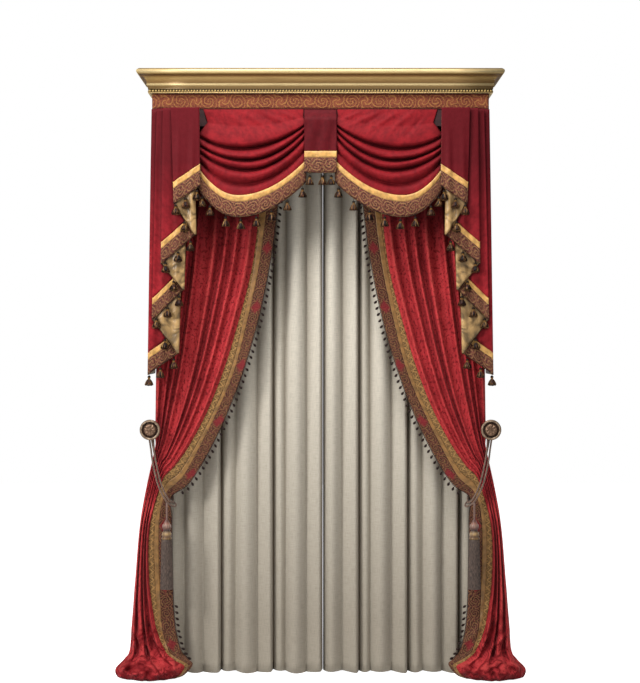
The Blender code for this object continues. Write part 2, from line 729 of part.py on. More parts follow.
def build_beads(side, word):
    """Header beside the woven border, with a bead on a short thread at each place."""
    stops = [(BEAD_FIRST_ROW - 0.05, False), (BEAD_LAST_ROW + 0.1, False)]
    stops += [(float(row), False) for row in range(int(BEAD_PAUSE[0]) + 1, int(BEAD_PAUSE[1]) + 1)]
    for v in bead_places():
        pace = (edge_point(v + 0.05) - edge_point(v - 0.05)).length / 0.1
        stops += [(v - BEAD_ROOT / 2 / pace, True), (v + BEAD_ROOT / 2 / pace, False)]
    stops.sort()
    points = []
    outwards = []
    for v, _ in stops:
        point, _, outward = edge_frame(v)
        points.append(Vector((side * point.x, point.y, point.z)))
        outwards.append(Vector((side * outward.x, outward.y, outward.z)))
    forward = Vector((0, -1, 0))
    cells = [index for index, stop in enumerate(stops) if stop[1]]
    drops = [(outwards[cell] * 0.8 + Vector((0, 0, -0.6))).normalized() for cell in cells]
    fringe("bead_fringe_" + word, points, cells, outwards, [forward] * len(points), drops, BEAD_LEVELS)


# Holdbacks, tie cords and tie tassels

HOLD_X = 0.7715
HOLD_HEIGHT = 1.136
HOLD_FACE = 0.268               # how far the rosette's face stands from the wall
ROSETTE = 0.0465


def build_holdback(side, word):
    """Wall plate, stem and rosette turned in one piece about the stem's axis."""
    profile = [
        # radius, distance from the wall
        (0.0, HOLD_FACE + 0.004), (0.016, HOLD_FACE + 0.003), (0.027, HOLD_FACE - 0.001),
        (0.030, HOLD_FACE - 0.006), (0.035, HOLD_FACE - 0.006), (0.038, HOLD_FACE),
        (0.043, HOLD_FACE), (ROSETTE, HOLD_FACE - 0.006), (0.044, HOLD_FACE - 0.014),
        (0.020, HOLD_FACE - 0.022), (0.008, HOLD_FACE - 0.026), (0.008, 0.010),
        (0.024, 0.006), (0.026, 0.0), (0.0, 0.0),
    ]
    turned("holdback_" + word, profile, place(side * HOLD_X, 0.0, HOLD_HEIGHT), 16, "bronze", axis_y=True)


CORD_RADIUS = 0.0042


def smooth_route(points, count):
    """Points of a smooth curve (Catmull-Rom) through the route's own points."""
    route = []
    last = len(points) - 1
    for k in range(last):
        before = Vector(points[max(k - 1, 0)])
        start = Vector(points[k])
        end = Vector(points[k + 1])
        after = Vector(points[min(k + 2, last)])
        for step in range(count):
            t = step / count
            route.append(0.5 * ((2 * start) + (end - before) * t
                                + (2 * before - 5 * start + 4 * end - after) * t * t
                                + (3 * start - before - 3 * end + after) * t ** 3))
    route.append(Vector(points[last]))
    return route


def tube(name, route, radius, material_name):
    data = bpy.data.curves.new(name, "CURVE")
    data.dimensions = "3D"
    spline = data.splines.new("POLY")
    spline.points.add(len(route) - 1)
    for target, point in zip(spline.points, route):
        target.co = (*point, 1.0)
    data.bevel_depth = radius
    data.bevel_resolution = 2
    data.use_fill_caps = True
    return add_object(name, data, material_name)


TIE_STRANDS = (
    # from one side of the stem round the back of the curtain to the front: x, from the wall, height
    ("inner", ((0.7590, 0.150, 1.136), (0.756, 0.146, 1.080), (0.742, 0.142, 1.000), (0.712, 0.140, 0.900),
               (0.682, 0.148, 0.830), (0.6740, 0.183, 0.803), (0.674, 0.220, 0.804), (0.694, 0.239, 0.824),
               (0.724, 0.240, 0.892), (0.746, 0.240, 0.985), (0.757, 0.237, 1.060), (0.7590, 0.232, 1.136))),
    ("outer", ((0.7840, 0.150, 1.136), (0.775, 0.146, 1.075), (0.756, 0.142, 0.985), (0.722, 0.140, 0.886),
               (0.684, 0.148, 0.812), (0.662, 0.180, 0.789), (0.669, 0.220, 0.786), (0.699, 0.240, 0.811),
               (0.735, 0.240, 0.880), (0.759, 0.240, 0.975), (0.771, 0.237, 1.055), (0.7840, 0.232, 1.136))),
)


def build_tie(side, word):
    for strand, route in TIE_STRANDS:
        points = [place(side * x, -y, height) for x, y, height in route]
        tube("tie_cord_" + strand + "_" + word, smooth_route(points, 2), CORD_RADIUS, "taupe_cord")


TASSEL_X = 0.697
TASSEL_Y = 0.2465
TASSEL_TOP = 0.8059
TASSEL_BODY = (
    # radius, height: the hanging cord, the moulded head, the gold collar and the skirt's top
    (0.0, TASSEL_TOP), (0.0045, TASSEL_TOP - 0.001), (0.0045, 0.722), (0.013, 0.712), (0.019, 0.694),
    (0.015, 0.676), (0.021, 0.662), (0.020, 0.650), (0.023, 0.640), (0.0, 0.640),
)
SKIRT_LOCKS = 12
SKIRT_TOP = 0.6397
SKIRT_BOTTOM = 0.413
SKIRT_BAND = 0.010              # height of the band that the locks grow from
SKIRT_BAND_RADII = (0.024, 0.021)
LOCK_DEPTH = 0.012
LOCK_TAPER = 0.86
LOCK_FLARE = 0.004


def build_tassel(side, word):
    turned("tie_tassel_head_" + word, TASSEL_BODY, place(side * TASSEL_X, -TASSEL_Y, 0.0), 12, "bronze")
    bm = bmesh.new()
    low_radius, high_radius = SKIRT_BAND_RADII
    bmesh.ops.create_cone(
        bm, cap_ends=True, segments=SKIRT_LOCKS, radius1=low_radius, radius2=high_radius, depth=SKIRT_BAND)
    bmesh.ops.inset_region(bm, faces=[min(bm.faces, key=lambda face: face.calc_center_median().z)],
                           thickness=LOCK_DEPTH)
    roots = [face for face in bm.faces if face.normal.z < -0.9 and len(face.verts) == 4]
    for face in roots:
        middle = face.calc_center_median()
        outward = Vector((middle.x, middle.y, 0.0)).normalized()
        grown = bmesh.ops.extrude_discrete_faces(bm, faces=[face])["faces"][0]
        for vert in grown.verts:
            offset = (vert.co - middle) * LOCK_TAPER
            vert.co = middle + offset + outward * LOCK_FLARE
            vert.co.z = SKIRT_BOTTOM - SKIRT_TOP + SKIRT_BAND / 2
    face_outward(bm)
    skirt = mesh_object("tie_tassel_skirt_" + word, bm, "taupe_cord")
    skirt.location = place(side * TASSEL_X, -TASSEL_Y, SKIRT_TOP - SKIRT_BAND / 2)


# Cream inner curtains

CREAM_Y = -0.048
CREAM_DEPTH = 0.074
CREAM_FULL_WIDTH = 0.09         # a fold narrower than this is shallower
CREAM_TOP_DEPTH = 0.75          # share of the depth at the heading
CREAM_ROUNDNESS = 0.8
CREAM_HEM = 0.006
CREAM_VALLEYS = (
    # distance right of the middle of each valley, the outer edges first and last
    (-0.722, -0.6335, -0.5453, -0.4618, -0.3922, -0.2947, -0.2205, -0.1601, -0.0673, 0.0100),
    (0.0116, 0.0998, 0.1787, 0.2344, 0.3272, 0.4061, 0.4757, 0.5639, 0.6428, 0.722),
)


def cream_surface(valleys):
    def surface(u, v):
        """u counts the folds from the left, v runs from the heading (0) to the hem (1)."""
        low = min(max(int(u), 0), len(valleys) - 2)
        share = u - low
        swell = sin(pi * min(max(share, 0.0), 1.0)) ** CREAM_ROUNDNESS
        width = valleys[low + 1] - valleys[low]
        depth = CREAM_DEPTH * min(width / CREAM_FULL_WIDTH, 1.0) * mix(CREAM_TOP_DEPTH, 1.0, v)
        return place(mix(valleys[low], valleys[low + 1], share), CREAM_Y - depth * swell,
                     mix(CURTAIN_TOP, CREAM_HEM, v))
    return surface


def flat_back(surface, u, v, thickness):
    return surface(u, v) + Vector((0.0, thickness, 0.0))


def build_cream():
    for valleys, word in zip(CREAM_VALLEYS, ("left", "right")):
        surface = cream_surface(valleys)
        count = len(valleys) - 1
        us = spread(0.0, count, 4 * count)
        sheet("cream_curtain_" + word, surface, us, (0.0, 1.0), CLOTH, "cream_cloth", 1, flat_back)


def build_all():
    build_box()
    build_moulding()
    build_galloon()
    build_tab()
    for side, word in ((-1, "left"), (1, "right")):
        build_swag(side, word)
        build_cascade(side, word)
        build_curtain(side, word)
        build_holdback(side, word)
        build_tie(side, word)
        build_tassel(side, word)
    build_cream()


clear_scene()
new_collection("window_treatment")
build_all()
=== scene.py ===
"""Looks of a pair of tied-back curtains with swags, stepped side cascades, cream inner curtains and a cornice.

Metres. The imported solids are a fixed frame: the wall is the plane y = 0, the room is at y < 0, and the
origin is the middle of the top board's back face. Heights in the tables are above the floor, and places
across are distances from the middle line. Each cloth is a thin closed sheet with a UV layer, "cloth",
whose two coordinates are metres of cloth, so that every weave and figure keeps its real size.
"""

from functools import partial
from math import cos, inf, pi, radians, sin

import bpy
import numpy as np
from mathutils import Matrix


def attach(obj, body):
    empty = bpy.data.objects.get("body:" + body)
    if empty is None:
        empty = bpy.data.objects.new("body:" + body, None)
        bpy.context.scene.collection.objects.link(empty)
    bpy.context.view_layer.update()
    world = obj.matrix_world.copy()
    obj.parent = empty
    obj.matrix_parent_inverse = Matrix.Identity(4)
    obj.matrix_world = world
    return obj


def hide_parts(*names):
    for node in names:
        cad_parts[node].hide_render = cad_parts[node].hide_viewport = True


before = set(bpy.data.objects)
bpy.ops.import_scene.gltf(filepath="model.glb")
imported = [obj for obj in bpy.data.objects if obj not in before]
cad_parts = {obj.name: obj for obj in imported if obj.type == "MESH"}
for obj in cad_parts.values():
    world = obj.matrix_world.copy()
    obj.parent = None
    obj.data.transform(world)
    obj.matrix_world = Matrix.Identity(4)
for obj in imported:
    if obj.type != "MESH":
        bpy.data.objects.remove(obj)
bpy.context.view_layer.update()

bl_info = {
    "name": "Swagged curtains",
    "version": (1, 0, 0),
    "blender": (4, 5, 0),
    "location": "3D View > Sidebar > Curtains",
    "description": "Makes the visible pieces of a pair of swagged curtains on their packed solids",
    "category": "Object",
}

# Sizes, in metres

GAP = 0.0003                    # between pieces that touch
CLOTH = 0.0016
TRIM = 0.0018
LINING = 0.0010
MOUNT_HEIGHT = 2.744
BOX_HALF_WIDTH = 0.755
BOX_DEPTH = 0.300
MOULDING_BOTTOM = 2.651
MOULDING_HEIGHT = 0.1045
GALLOON_HEIGHT = 0.070
GALLOON_BOTTOM = MOULDING_BOTTOM - GAP - GALLOON_HEIGHT
HEADING = GALLOON_BOTTOM - GAP
GOLD_BAND = 0.029
BORDER = 0.066
HEADER = 0.004
SIDES = ((-1, "left"), (1, "right"))
TO_WALL = np.array((0.0, 1.0, 0.0))

SWAG_INNER, SWAG_LOW, SWAG_PLACE, SWAG_OUTER, SWAG_FORWARD, SWAG_X_IN, SWAG_X_OUT = range(7)
SWAG_ROWS = np.array((
    # inner drop, lowest drop, place of the lowest point, outer drop, forward, inner x, outer x
    (0.000, 0.000, 0.60, 0.000, 0.0006, 0.0760, 0.527),
    (0.035, 0.078, 0.60, 0.060, 0.010, 0.0760, 0.508),
    (0.063, 0.157, 0.63, 0.112, 0.036, 0.0640, 0.546),
    (0.070, 0.180, 0.60, 0.126, 0.015, 0.0640, 0.546),
    (0.081, 0.215, 0.58, 0.152, 0.040, 0.0640, 0.546),
    (0.094, 0.233, 0.56, 0.164, 0.020, 0.0640, 0.547),
    (0.108, 0.256, 0.53, 0.179, 0.044, 0.0640, 0.547),
    (0.124, 0.277, 0.55, 0.194, 0.024, 0.0640, 0.547),
    (0.152, 0.309, 0.56, 0.215, 0.050, 0.0640, 0.548),
    (0.185, 0.340, 0.60, 0.235, 0.032, 0.0640, 0.548),
    (0.229, 0.390, 0.63, 0.265, 0.042, 0.0640, 0.548),
))
SWAG_HEM = len(SWAG_ROWS) - 1
SWAG_VALLEY = 0.012             # extra depth of the folds' valleys
SWAG_PLAIN_ROWS = 2.0           # rows at the top without valleys
SWAG_ROUND = 1.7                # power that rounds the crests
SWAG_END_DEPTH = 0.22           # share of the folds' depth left at the swag's ends
SWAG_STAND = 0.0022             # how far the cloth stands off the box below its heading
SWAG_GRID = (111, 141)          # points across and down
SWAG_TASSELS = (0.035, 0.175, 0.32, 0.46, 0.605, 0.745, 0.89, 0.965)
SWAG_CREASES = (
    # from x, height to x, height: half width, how far it stands out
    (0.420, 2.570, 0.300, 2.470, 0.012, 0.0045),
    (0.345, 2.565, 0.215, 2.478, 0.010, 0.0050),
    (0.300, 2.575, 0.190, 2.505, 0.007, -0.0035),
    (0.250, 2.560, 0.130, 2.505, 0.010, 0.0045),
    (0.460, 2.545, 0.380, 2.455, 0.009, -0.0035),
    (0.180, 2.568, 0.095, 2.530, 0.008, 0.0035),
    (0.430, 2.372, 0.250, 2.355, 0.006, 0.0030),
    (0.330, 2.300, 0.200, 2.330, 0.007, 0.0030),
    (0.390, 2.262, 0.300, 2.245, 0.010, -0.0040),
)

TAB_HALF_WIDTH = 0.0725
TAB_DROP = 0.191
TAB_FORWARD = 0.030
TAB_HANG = 0.055                # the tab comes forward over this much of its top
TAB_CREASE = 0.0022
TAB_TASSELS = (0.17, 0.56, 0.83)

LAYER = 0.0085                  # between the cascade's layers
FRONT_LAYER = 0.3552            # from the wall to the layer in front
WALL_END = 0.004
CASCADE_WAVES = (0.060, 0.033)  # widths of the soft vertical folds
CASCADE_FALL = 0.30             # they grow over this much below the heading
CASCADE_TOP_X, CASCADE_HEM_X, CASCADE_HEM = range(3)
CASCADE_FOLDS = np.array((
    # x at the heading, x at the hem, height of the hem
    (0.540, 0.536, 2.229),
    (0.664, 0.652, 2.149),
    (0.571, 0.562, 2.010),
    (0.703, 0.710, 1.882),
    (0.596, 0.616, 1.765),
    (0.731, 0.752, 1.632),
    (0.612, 0.642, 1.480),
    (0.7605, 0.7780, 1.386),
))
CORNER = len(CASCADE_FOLDS) - 1
CASCADE_LEAN = 0.24             # the tassels' lean forward, for each metre down
CORNER_BEND = 0.008             # radius of the turn back to the wall
CASCADE_TASSELS = (
    # layer, share of the way across it
    (0, 0.12), (0, 0.55), (0, 0.92), (1, 0.50), (2, 0.10), (2, 0.50), (2, 0.90), (3, 0.55),
    (4, 0.12), (4, 0.50), (4, 0.90), (5, 0.50), (6, 0.15), (6, 0.55), (6, 0.93),
)

HALF_WAIST_IN = 0.683
HALF_HEAD_IN = 0.162
WAIST_IN_HEIGHT = 0.825
WAIST_OUT = (0.757, 1.054)
HEAD_OUT = 0.735
CURTAIN_TOP = 2.7347
CURTAIN_Y = -0.186
FOLDS = 8
FOLD_WANDER = 0.22              # how far a fold strays sideways, in folds
PAIRED_DEPTH = 1.35             # depth of two folds run together, in folds
CURTAIN_GRID_ROWS = 215
TRIM_RISE = 0.35                # how far the trims stand out at the edge, as a share of a fold
EDGE_SPILL = 0.35               # the edges' share of the cloth's spill on the floor
EDGE_BOW = 0.038
SEAM = 0.0006
UNDERLAP = 0.004                # each strip is sewn over this much of the one beside it


def mix(a, b, t):
    return a + (b - a) * t


def share_past(value, start, reach):
    """How far a value is past start, as a share of reach from 0 to 1; a negative reach counts down."""
    return np.clip((value - start) / reach, 0.0, 1.0)


def rounded_wave(t):
    """Smooth wave that is 0 where t is even and 1 where it is odd."""
    return 0.5 - 0.5 * np.cos(pi * t)


def upper_row(height_share, fold, bulge, red_end, leaf_end, gold_end):
    """Row of the draped part; height_share is 1 at the heading and 0 at the tie."""
    swing = 0.5 * (1 - (1 - height_share) ** 2.7) + 0.5 * height_share ** 0.45
    swing += EDGE_BOW * sin(pi * height_share)
    return (mix(WAIST_OUT[0], HEAD_OUT, height_share), mix(WAIST_OUT[1], CURTAIN_TOP, height_share),
            mix(HALF_WAIST_IN, HALF_HEAD_IN, swing), mix(WAIST_IN_HEIGHT, CURTAIN_TOP, height_share),
            fold, bulge, 0.0, 0.0, red_end, leaf_end, gold_end)


OUT_X, OUT_Z, IN_X, IN_Z, FOLD, BULGE, SPILL, LIFT, RED_END, LEAF_END, GOLD_END = range(11)
CURTAIN_ROWS = np.array((
    # height share, depth of the folds, bulge, and the shares of the width where the velvet,
    # the leaf strip and the gold band end
    upper_row(1.00, 0.026, 0.000, 0.850, 0.862, 0.908),
    upper_row(0.84, 0.030, 0.000, 0.850, 0.862, 0.908),
    upper_row(0.68, 0.031, 0.000, 0.850, 0.862, 0.908),
    upper_row(0.54, 0.030, 0.002, 0.850, 0.864, 0.908),
    upper_row(0.41, 0.028, 0.004, 0.820, 0.864, 0.900),
    upper_row(0.29, 0.024, 0.006, 0.796, 0.870, 0.906),
    upper_row(0.18, 0.020, 0.009, 0.758, 0.832, 0.872),
    upper_row(0.09, 0.014, 0.013, 0.690, 0.784, 0.844),
    upper_row(0.03, 0.010, 0.016, 0.612, 0.750, 0.842),
    upper_row(0.00, 0.008, 0.017, 0.590, 0.726, 0.850),
    # outer x, outer height, inner x, inner height, folds, bulge, spill on the floor, how far the
    # cloth's back lies above its face, and the three shares
    (0.804, 0.834, 0.681, 0.743, 0.010, 0.015, 0.000, 0.0, 0.400, 0.520, 0.620),
    (0.829, 0.675, 0.679, 0.629, 0.014, 0.012, 0.000, 0.0, 0.310, 0.470, 0.600),
    (0.848, 0.446, 0.676, 0.446, 0.018, 0.010, 0.000, 0.0, 0.380, 0.540, 0.660),
    (0.864, 0.240, 0.665, 0.240, 0.020, 0.010, 0.004, 0.0, 0.560, 0.640, 0.700),
    (0.873, 0.126, 0.636, 0.126, 0.020, 0.010, 0.024, -0.2, 0.700, 0.740, 0.770),
    (0.896, 0.088, 0.608, 0.094, 0.020, 0.012, 0.052, -0.5, 0.800, 0.835, 0.865),
    (0.934, 0.048, 0.582, 0.066, 0.018, 0.010, 0.084, -0.4, 0.900, 0.922, 0.944),
    (0.928, 0.012, 0.618, 0.020, 0.010, 0.008, 0.096, 0.4, 0.920, 0.940, 0.960),
    (0.902, 0.0005, 0.662, 0.0005, 0.008, 0.004, 0.072, 3.0, 0.920, 0.940, 0.960),
))
LAST_ROW = len(CURTAIN_ROWS) - 1
PAIRED_ROW = 9.2                # the folds run together in pairs from here on
FLOOR_ROW = 13.0                # the cloth reaches the floor from here on
BEAD_FIRST_ROW = 1.2
BEAD_PAUSE = (8.6, 12.4)        # rows behind the tie, without beads
BEAD_LAST_ROW = 15.4
CURTAIN_CREASES = (
    # from x, height to x, height: half width, how far it stands out
    (0.850, 0.420, 0.800, 0.250, 0.014, 0.010),
    (0.800, 0.330, 0.740, 0.190, 0.012, 0.009),
    (0.760, 0.360, 0.700, 0.230, 0.010, -0.008),
    (0.870, 0.230, 0.760, 0.130, 0.012, 0.010),
    (0.740, 0.300, 0.690, 0.160, 0.012, 0.010),
)
PUDDLE_CREASES = (
    (0.915, 0.055, 0.820, 0.085, 0.010, 0.020),
    (0.880, 0.030, 0.780, 0.052, 0.008, 0.018),
    (0.840, 0.100, 0.740, 0.060, 0.009, 0.020),
    (0.760, 0.090, 0.690, 0.040, 0.009, 0.019),
    (0.740, 0.035, 0.640, 0.062, 0.008, 0.018),
    (0.690, 0.095, 0.620, 0.070, 0.008, 0.015),
    (0.900, 0.078, 0.870, 0.110, 0.009, -0.008),
    (0.800, 0.070, 0.770, 0.020, 0.008, -0.008),
    (0.700, 0.070, 0.650, 0.022, 0.008, -0.008),
    (0.860, 0.062, 0.800, 0.012, 0.010, 0.010),
    (0.650, 0.045, 0.610, 0.020, 0.010, 0.009),
)

# Heights where the creases and crumples start
CREASED_BELOW = 0.62
CREASED_ABOVE = 0.10
PUDDLED_BELOW = 0.135
CRUMPLED_BELOW = 0.36
CRUMPLES = (
    # sharp ripples near the floor: turns across and down in radians a metre, start, height
    (58.0, 24.0, 0.4, 0.0034),
    (-44.0, 52.0, 1.7, 0.0030),
    (84.0, -34.0, 2.9, 0.0018),
)

HOLD_X = 0.7715
HOLD_HEIGHT = 1.136
HOLD_FACE = 0.268
CORD_RADIUS = 0.0042
TIE_STRANDS = (
    # from one side of the stem round the back of the curtain to the front: x, from the wall, height
    ("inner", ((0.7590, 0.150, 1.136), (0.756, 0.146, 1.080), (0.742, 0.142, 1.000), (0.712, 0.140, 0.900),
               (0.682, 0.148, 0.830), (0.6740, 0.183, 0.803), (0.674, 0.220, 0.804), (0.694, 0.239, 0.824),
               (0.724, 0.240, 0.892), (0.746, 0.240, 0.985), (0.757, 0.237, 1.060), (0.7590, 0.232, 1.136))),
    ("outer", ((0.7840, 0.150, 1.136), (0.775, 0.146, 1.075), (0.756, 0.142, 0.985), (0.722, 0.140, 0.886),
               (0.684, 0.148, 0.812), (0.662, 0.180, 0.789), (0.669, 0.220, 0.786), (0.699, 0.240, 0.811),
               (0.735, 0.240, 0.880), (0.759, 0.240, 0.975), (0.771, 0.237, 1.055), (0.7840, 0.232, 1.136))),
)
TASSEL_X = 0.697
TASSEL_Y = 0.2465
TASSEL_TOP = 0.8059
SKIRT_TOP = 0.6397
SKIRT_BOTTOM = 0.413

CREAM_Y = -0.048
CREAM_DEPTH = 0.074
CREAM_HEM = 0.006
SHALLOW_VALLEY = 0.42           # share of a fold's depth that an ordinary valley keeps
CREAM_VALLEYS = (
    # distance right of the middle of each valley, the outer edges first and last
    (-0.722, -0.6335, -0.5453, -0.4618, -0.3922, -0.2947, -0.2205, -0.1601, -0.0673, 0.0100),
    (0.0116, 0.0998, 0.1787, 0.2344, 0.3272, 0.4061, 0.4757, 0.5639, 0.6428, 0.722),
)
CREAM_SHARP = (
    # the folds that end in a deep narrow valley, counted from the left
    (2, 5, 8),
    (1, 4, 7),
)

PLEAT_START = 0.01              # a turned part's pleats grow over this length
TURNED_FLAT = 0.01              # metres of its flat cloth for a radian round it

# Sewn cords: radius, and length of one turn
GALLOON_CORD = (0.0012, 0.008)
HEM_CORD = (0.0021, 0.010)
CASCADE_CORD = (0.0019, 0.010)
EDGE_CORD = (0.0015, 0.008)

ACCENT_START = 0.05             # crimson diamonds of the long borders
ACCENT_PITCH = 0.275
LEAF_PITCH = 0.036
BEAD_MARK = 5.0                 # first cloth coordinate of the carved beads
# Heights in the frame between which painted shade on the velvet fades in: in the crumples, under the swags and
# on the headings
CRUMPLED = (-2.34, -2.56)
SWAG_SHADE = (-0.80, -0.60)
HEADING_SHADE_FADE = (-0.85, -0.40)


# Colours

def linear(code):
    """Linear colour of an sRGB hex value."""
    parts = [int(code[k:k + 2], 16) / 255 for k in (1, 3, 5)]
    return tuple(part / 12.92 if part <= 0.04045 else ((part + 0.055) / 1.055) ** 2.4 for part in parts)


def tone(code):
    return (*linear(code), 1.0)


def shaded(colour, share=1.0):
    """Opaque colour, darkened to a share of itself."""
    return (*(part * share for part in colour), 1.0)


def length_property(name, description, metres):
    return bpy.props.FloatProperty(name=name, description=description, default=metres, unit="LENGTH")


def colour_property(name, description, code):
    return bpy.props.FloatVectorProperty(
        name=name, description=description, default=linear(code), subtype="COLOR")


class CurtainSizes(bpy.types.PropertyGroup):
    fleck: length_property("Crush fleck", "Usual width of a crushed fleck in the velvet's pile", 0.009)
    bead_pitch: length_property(
        "Bead pitch", "Distance between the beads along the curtains' inner edges", 0.029)
    tassel_drop: length_property("Tassel drop", "Length of a trim tassel with its thread", 0.054)
    rope_pitch: length_property("Rope pitch", "Length of one turn of the tie cords' strands", 0.026)
    border_repeat: length_property("Border repeat", "Length of one figure of the woven borders", 0.058)
    galloon_repeat: length_property("Galloon repeat", "Length of one medallion of the galloon", 0.128)
    cascade_swell: length_property(
        "Cascade swell", "How far the soft vertical folds of the cascades stand out", 0.011)


class CurtainColours(bpy.types.PropertyGroup):
    velvet: colour_property("Velvet", "Pile seen upright", "#b83539")
    velvet_crushed: colour_property("Crushed velvet", "Pile pressed away from the eye", "#6a1016")
    velvet_swag: colour_property("Velvet swags", "Pile of the swags, which face the light", "#8a1b21")
    # The headings' darker pile is painted shade on the same velvet as the swags and curtains
    velvet_heading_shade: colour_property(
        "Velvet headings", "Fresh pile of the tab and the cascades' headings", "#5c1219")
    gold: colour_property("Gold band", "Satin bands of the swags, cascades and tab", "#dea85c")
    old_gold: colour_property("Old gold band", "Satin bands of the long curtains", "#946a36")
    cream: colour_property("Cream", "Cloth of the inner curtains", "#d3cbbb")
    lining: colour_property("Lining", "Satin lining of the cascades", "#b8935e")
    gilding: colour_property("Gilding", "Leaf on the cornice", "#b8975a")


# Materials

def feed(socket, value):
    """Links an input to the output that feeds it, or sets it; a text is a colour's sRGB hex value."""
    if isinstance(value, bpy.types.NodeSocket):
        socket.id_data.links.new(value, socket)
    else:
        socket.default_value = tone(value) if isinstance(value, str) else value


def add(tree, kind, *values, out=None, stops=(), **named):
    """Adds a node. Values go to its inputs in order, and capital names are inputs, the others settings."""
    made = tree.nodes.new("ShaderNode" + kind)
    for name, value in named.items():
        if name[0].isupper():
            feed(made.inputs[name.replace("_", " ")], value)
        else:
            setattr(made, name, value)
    for socket, value in zip([each for each in made.inputs if each.enabled], values):
        feed(socket, value)
    for index, (position, colour) in enumerate(stops):
        ramp = made.color_ramp
        element = ramp.elements[index] if index < 2 else ramp.elements.new(position)
        element.position = position
        element.color = tone(colour) if isinstance(colour, str) else colour
    return made.outputs[out] if out else next((each for each in made.outputs if each.enabled), None)


def new_material(name):
    """Material, the function that adds a node to it, and its shader."""
    made = bpy.data.materials.new(name)
    made.use_nodes = True
    return made, partial(add, made.node_tree), made.node_tree.nodes["Principled BSDF"]


def finish_shader(shader, colour, height, bump, reach, **values):
    """Feeds the shader its colour and its bump, and sets its other inputs."""
    values["Base_Color"] = colour
    values["Normal"] = add(shader.id_data, "Bump", Height=height, Strength=bump, Distance=reach)
    for name, value in values.items():
        feed(shader.inputs[name.replace("_", " ")], value)


def crushed_velvet(name, pile, crushed, fleck, sheen=0.45, soft=False, heading_shade=None, tint="#e87070"):
    """Silk velvet, crushed: pressed patches turn dark and the upright pile catches light at its edges."""
    made, node, shader = new_material(name)
    place = node("TexCoord", out="Object")
    level = node("SeparateXYZ", place, out="Z")
    cloth = node("UVMap", uv_map="cloth")
    drawn = node("Mapping", cloth, Scale=(1.0, 0.75, 1.0))
    flecks = node("TexNoise", drawn, Scale=0.8 / fleck, Detail=3.0, Roughness=0.62)
    # A soft pile is only clouded; a crushed one has clear dark flecks
    low, high, most = (0.42, 0.72, 0.55) if soft else (0.52, 0.60, 0.95)
    pressed = node("MapRange", flecks, low, high, 0.0, most)
    patches = node("TexNoise", cloth, Scale=9.0, Detail=3.0, Roughness=0.6)
    worn = node("MapRange", patches, 0.38, 0.66, 0.0, 0.45)
    upright, crushed = shaded(pile), shaded(crushed)
    # The cascades' headings get painted shade: the pile darkens towards the top
    if heading_shade is not None:
        fade = node("MapRange", level, *HEADING_SHADE_FADE)
        upright = node("Mix", fade, upright, shaded(heading_shade), data_type="RGBA")
    first = node("Mix", worn, upright, crushed, data_type="RGBA")
    colour = node("Mix", pressed, first, crushed, data_type="RGBA")
    # Painted highlight on the crests and painted shade deep in the folds, both from ambient occlusion
    open_sky = node("AmbientOcclusion", Distance=0.09, samples=6, out="AO")
    painted_shade = node("MapRange", open_sky, 0.30, 0.78, 0.85, 0.0)
    painted_highlight = node("MapRange", open_sky, 0.90, 1.0, 0.0, 0.0 if soft else 0.30)
    colour = node("Mix", painted_highlight, colour, "#c8554c", data_type="RGBA")
    if not soft:
        # Painted shadow of the swags on the long curtains, just below their tassels
        shade = node("MapRange", level, *SWAG_SHADE, 0.0, 0.8)
        painted_shade = node("Math", painted_shade, shade, operation="MAXIMUM")
    colour = node("Mix", painted_shade, colour, "#26060a", data_type="RGBA")
    # Creases where the cloth lies crumpled on the floor: painted shade in their troughs, in the crushed pile's
    # colour, and their bump
    ripples = node("TexNoise", place, Scale=7.5, Detail=1.0, Distortion=1.5)
    slope = node("Math", ripples, 0.5, operation="SUBTRACT")
    steep = node("Math", slope, operation="ABSOLUTE")
    crease = node("MapRange", steep, 0.0, 0.085, 1.0, 0.0)
    near_floor = node("MapRange", level, *CRUMPLED)
    crumpled = node("Math", crease, near_floor, operation="MULTIPLY")
    colour = node("Mix", crumpled, colour, crushed, data_type="RGBA")
    # Pile tips are under 1 mm; they are drawn at 2.2 mm so that they show
    pile_tips = node("TexNoise", drawn, Scale=450.0, Detail=1.0)
    fine = node("Math", flecks, 1.6, pile_tips, operation="MULTIPLY_ADD")
    height = node("Math", crumpled, -8.0, fine, operation="MULTIPLY_ADD")
    finish_shader(shader, colour, height, 0.45, 0.0012, Roughness=0.62, Sheen_Weight=sheen,
                  Sheen_Roughness=0.35, Sheen_Tint=tint, Specular_IOR_Level=0.08)
    return made


def satin_band(name, colour):
    """Woven satin band: fine cross ribs and a soft lengthwise gloss."""
    made, node, shader = new_material(name)
    cloth = node("UVMap", uv_map="cloth")
    # Ribs of 1 mm, drawn at 3.5 mm so that they show
    ribs = node("TexWave", cloth, Scale=45.0, Distortion=0.6, Detail=1.0, Detail_Scale=3.0, out="Fac")
    cloudy = node("TexNoise", cloth, Scale=38.0, Detail=3.0)
    dark = shaded(colour, 0.52)
    clouded = node("ValToRGB", cloudy, stops=((0.34, dark), (0.60, shaded(colour))))
    ribbed = node("Math", ribs, 0.22, operation="MULTIPLY")
    tinted = node("Mix", ribbed, clouded, dark, data_type="RGBA")
    finish_shader(shader, tinted, ribs, 0.35, 0.0006, Roughness=0.46, Sheen_Weight=0.25,
                  Sheen_Roughness=0.4, Specular_IOR_Level=0.45)
    return made


def wandering(node, flat, scale, reach):
    """Places on the cloth, pushed about a little, so that no woven line is ruled."""
    wander = node("TexNoise", flat, Scale=scale, Detail=2.0, out="Color")
    centred = node("VectorMath", wander, (0.5, 0.5, 0.5), operation="SUBTRACT")
    return node("VectorMath", centred, (reach, reach, 0.0), flat, operation="MULTIPLY_ADD")


def mottled_ground(node, flat, scale, *stops):
    """Ground whose threads show in two tones."""
    return node("ValToRGB", node("TexNoise", flat, Scale=scale, Detail=2.0), stops=stops)


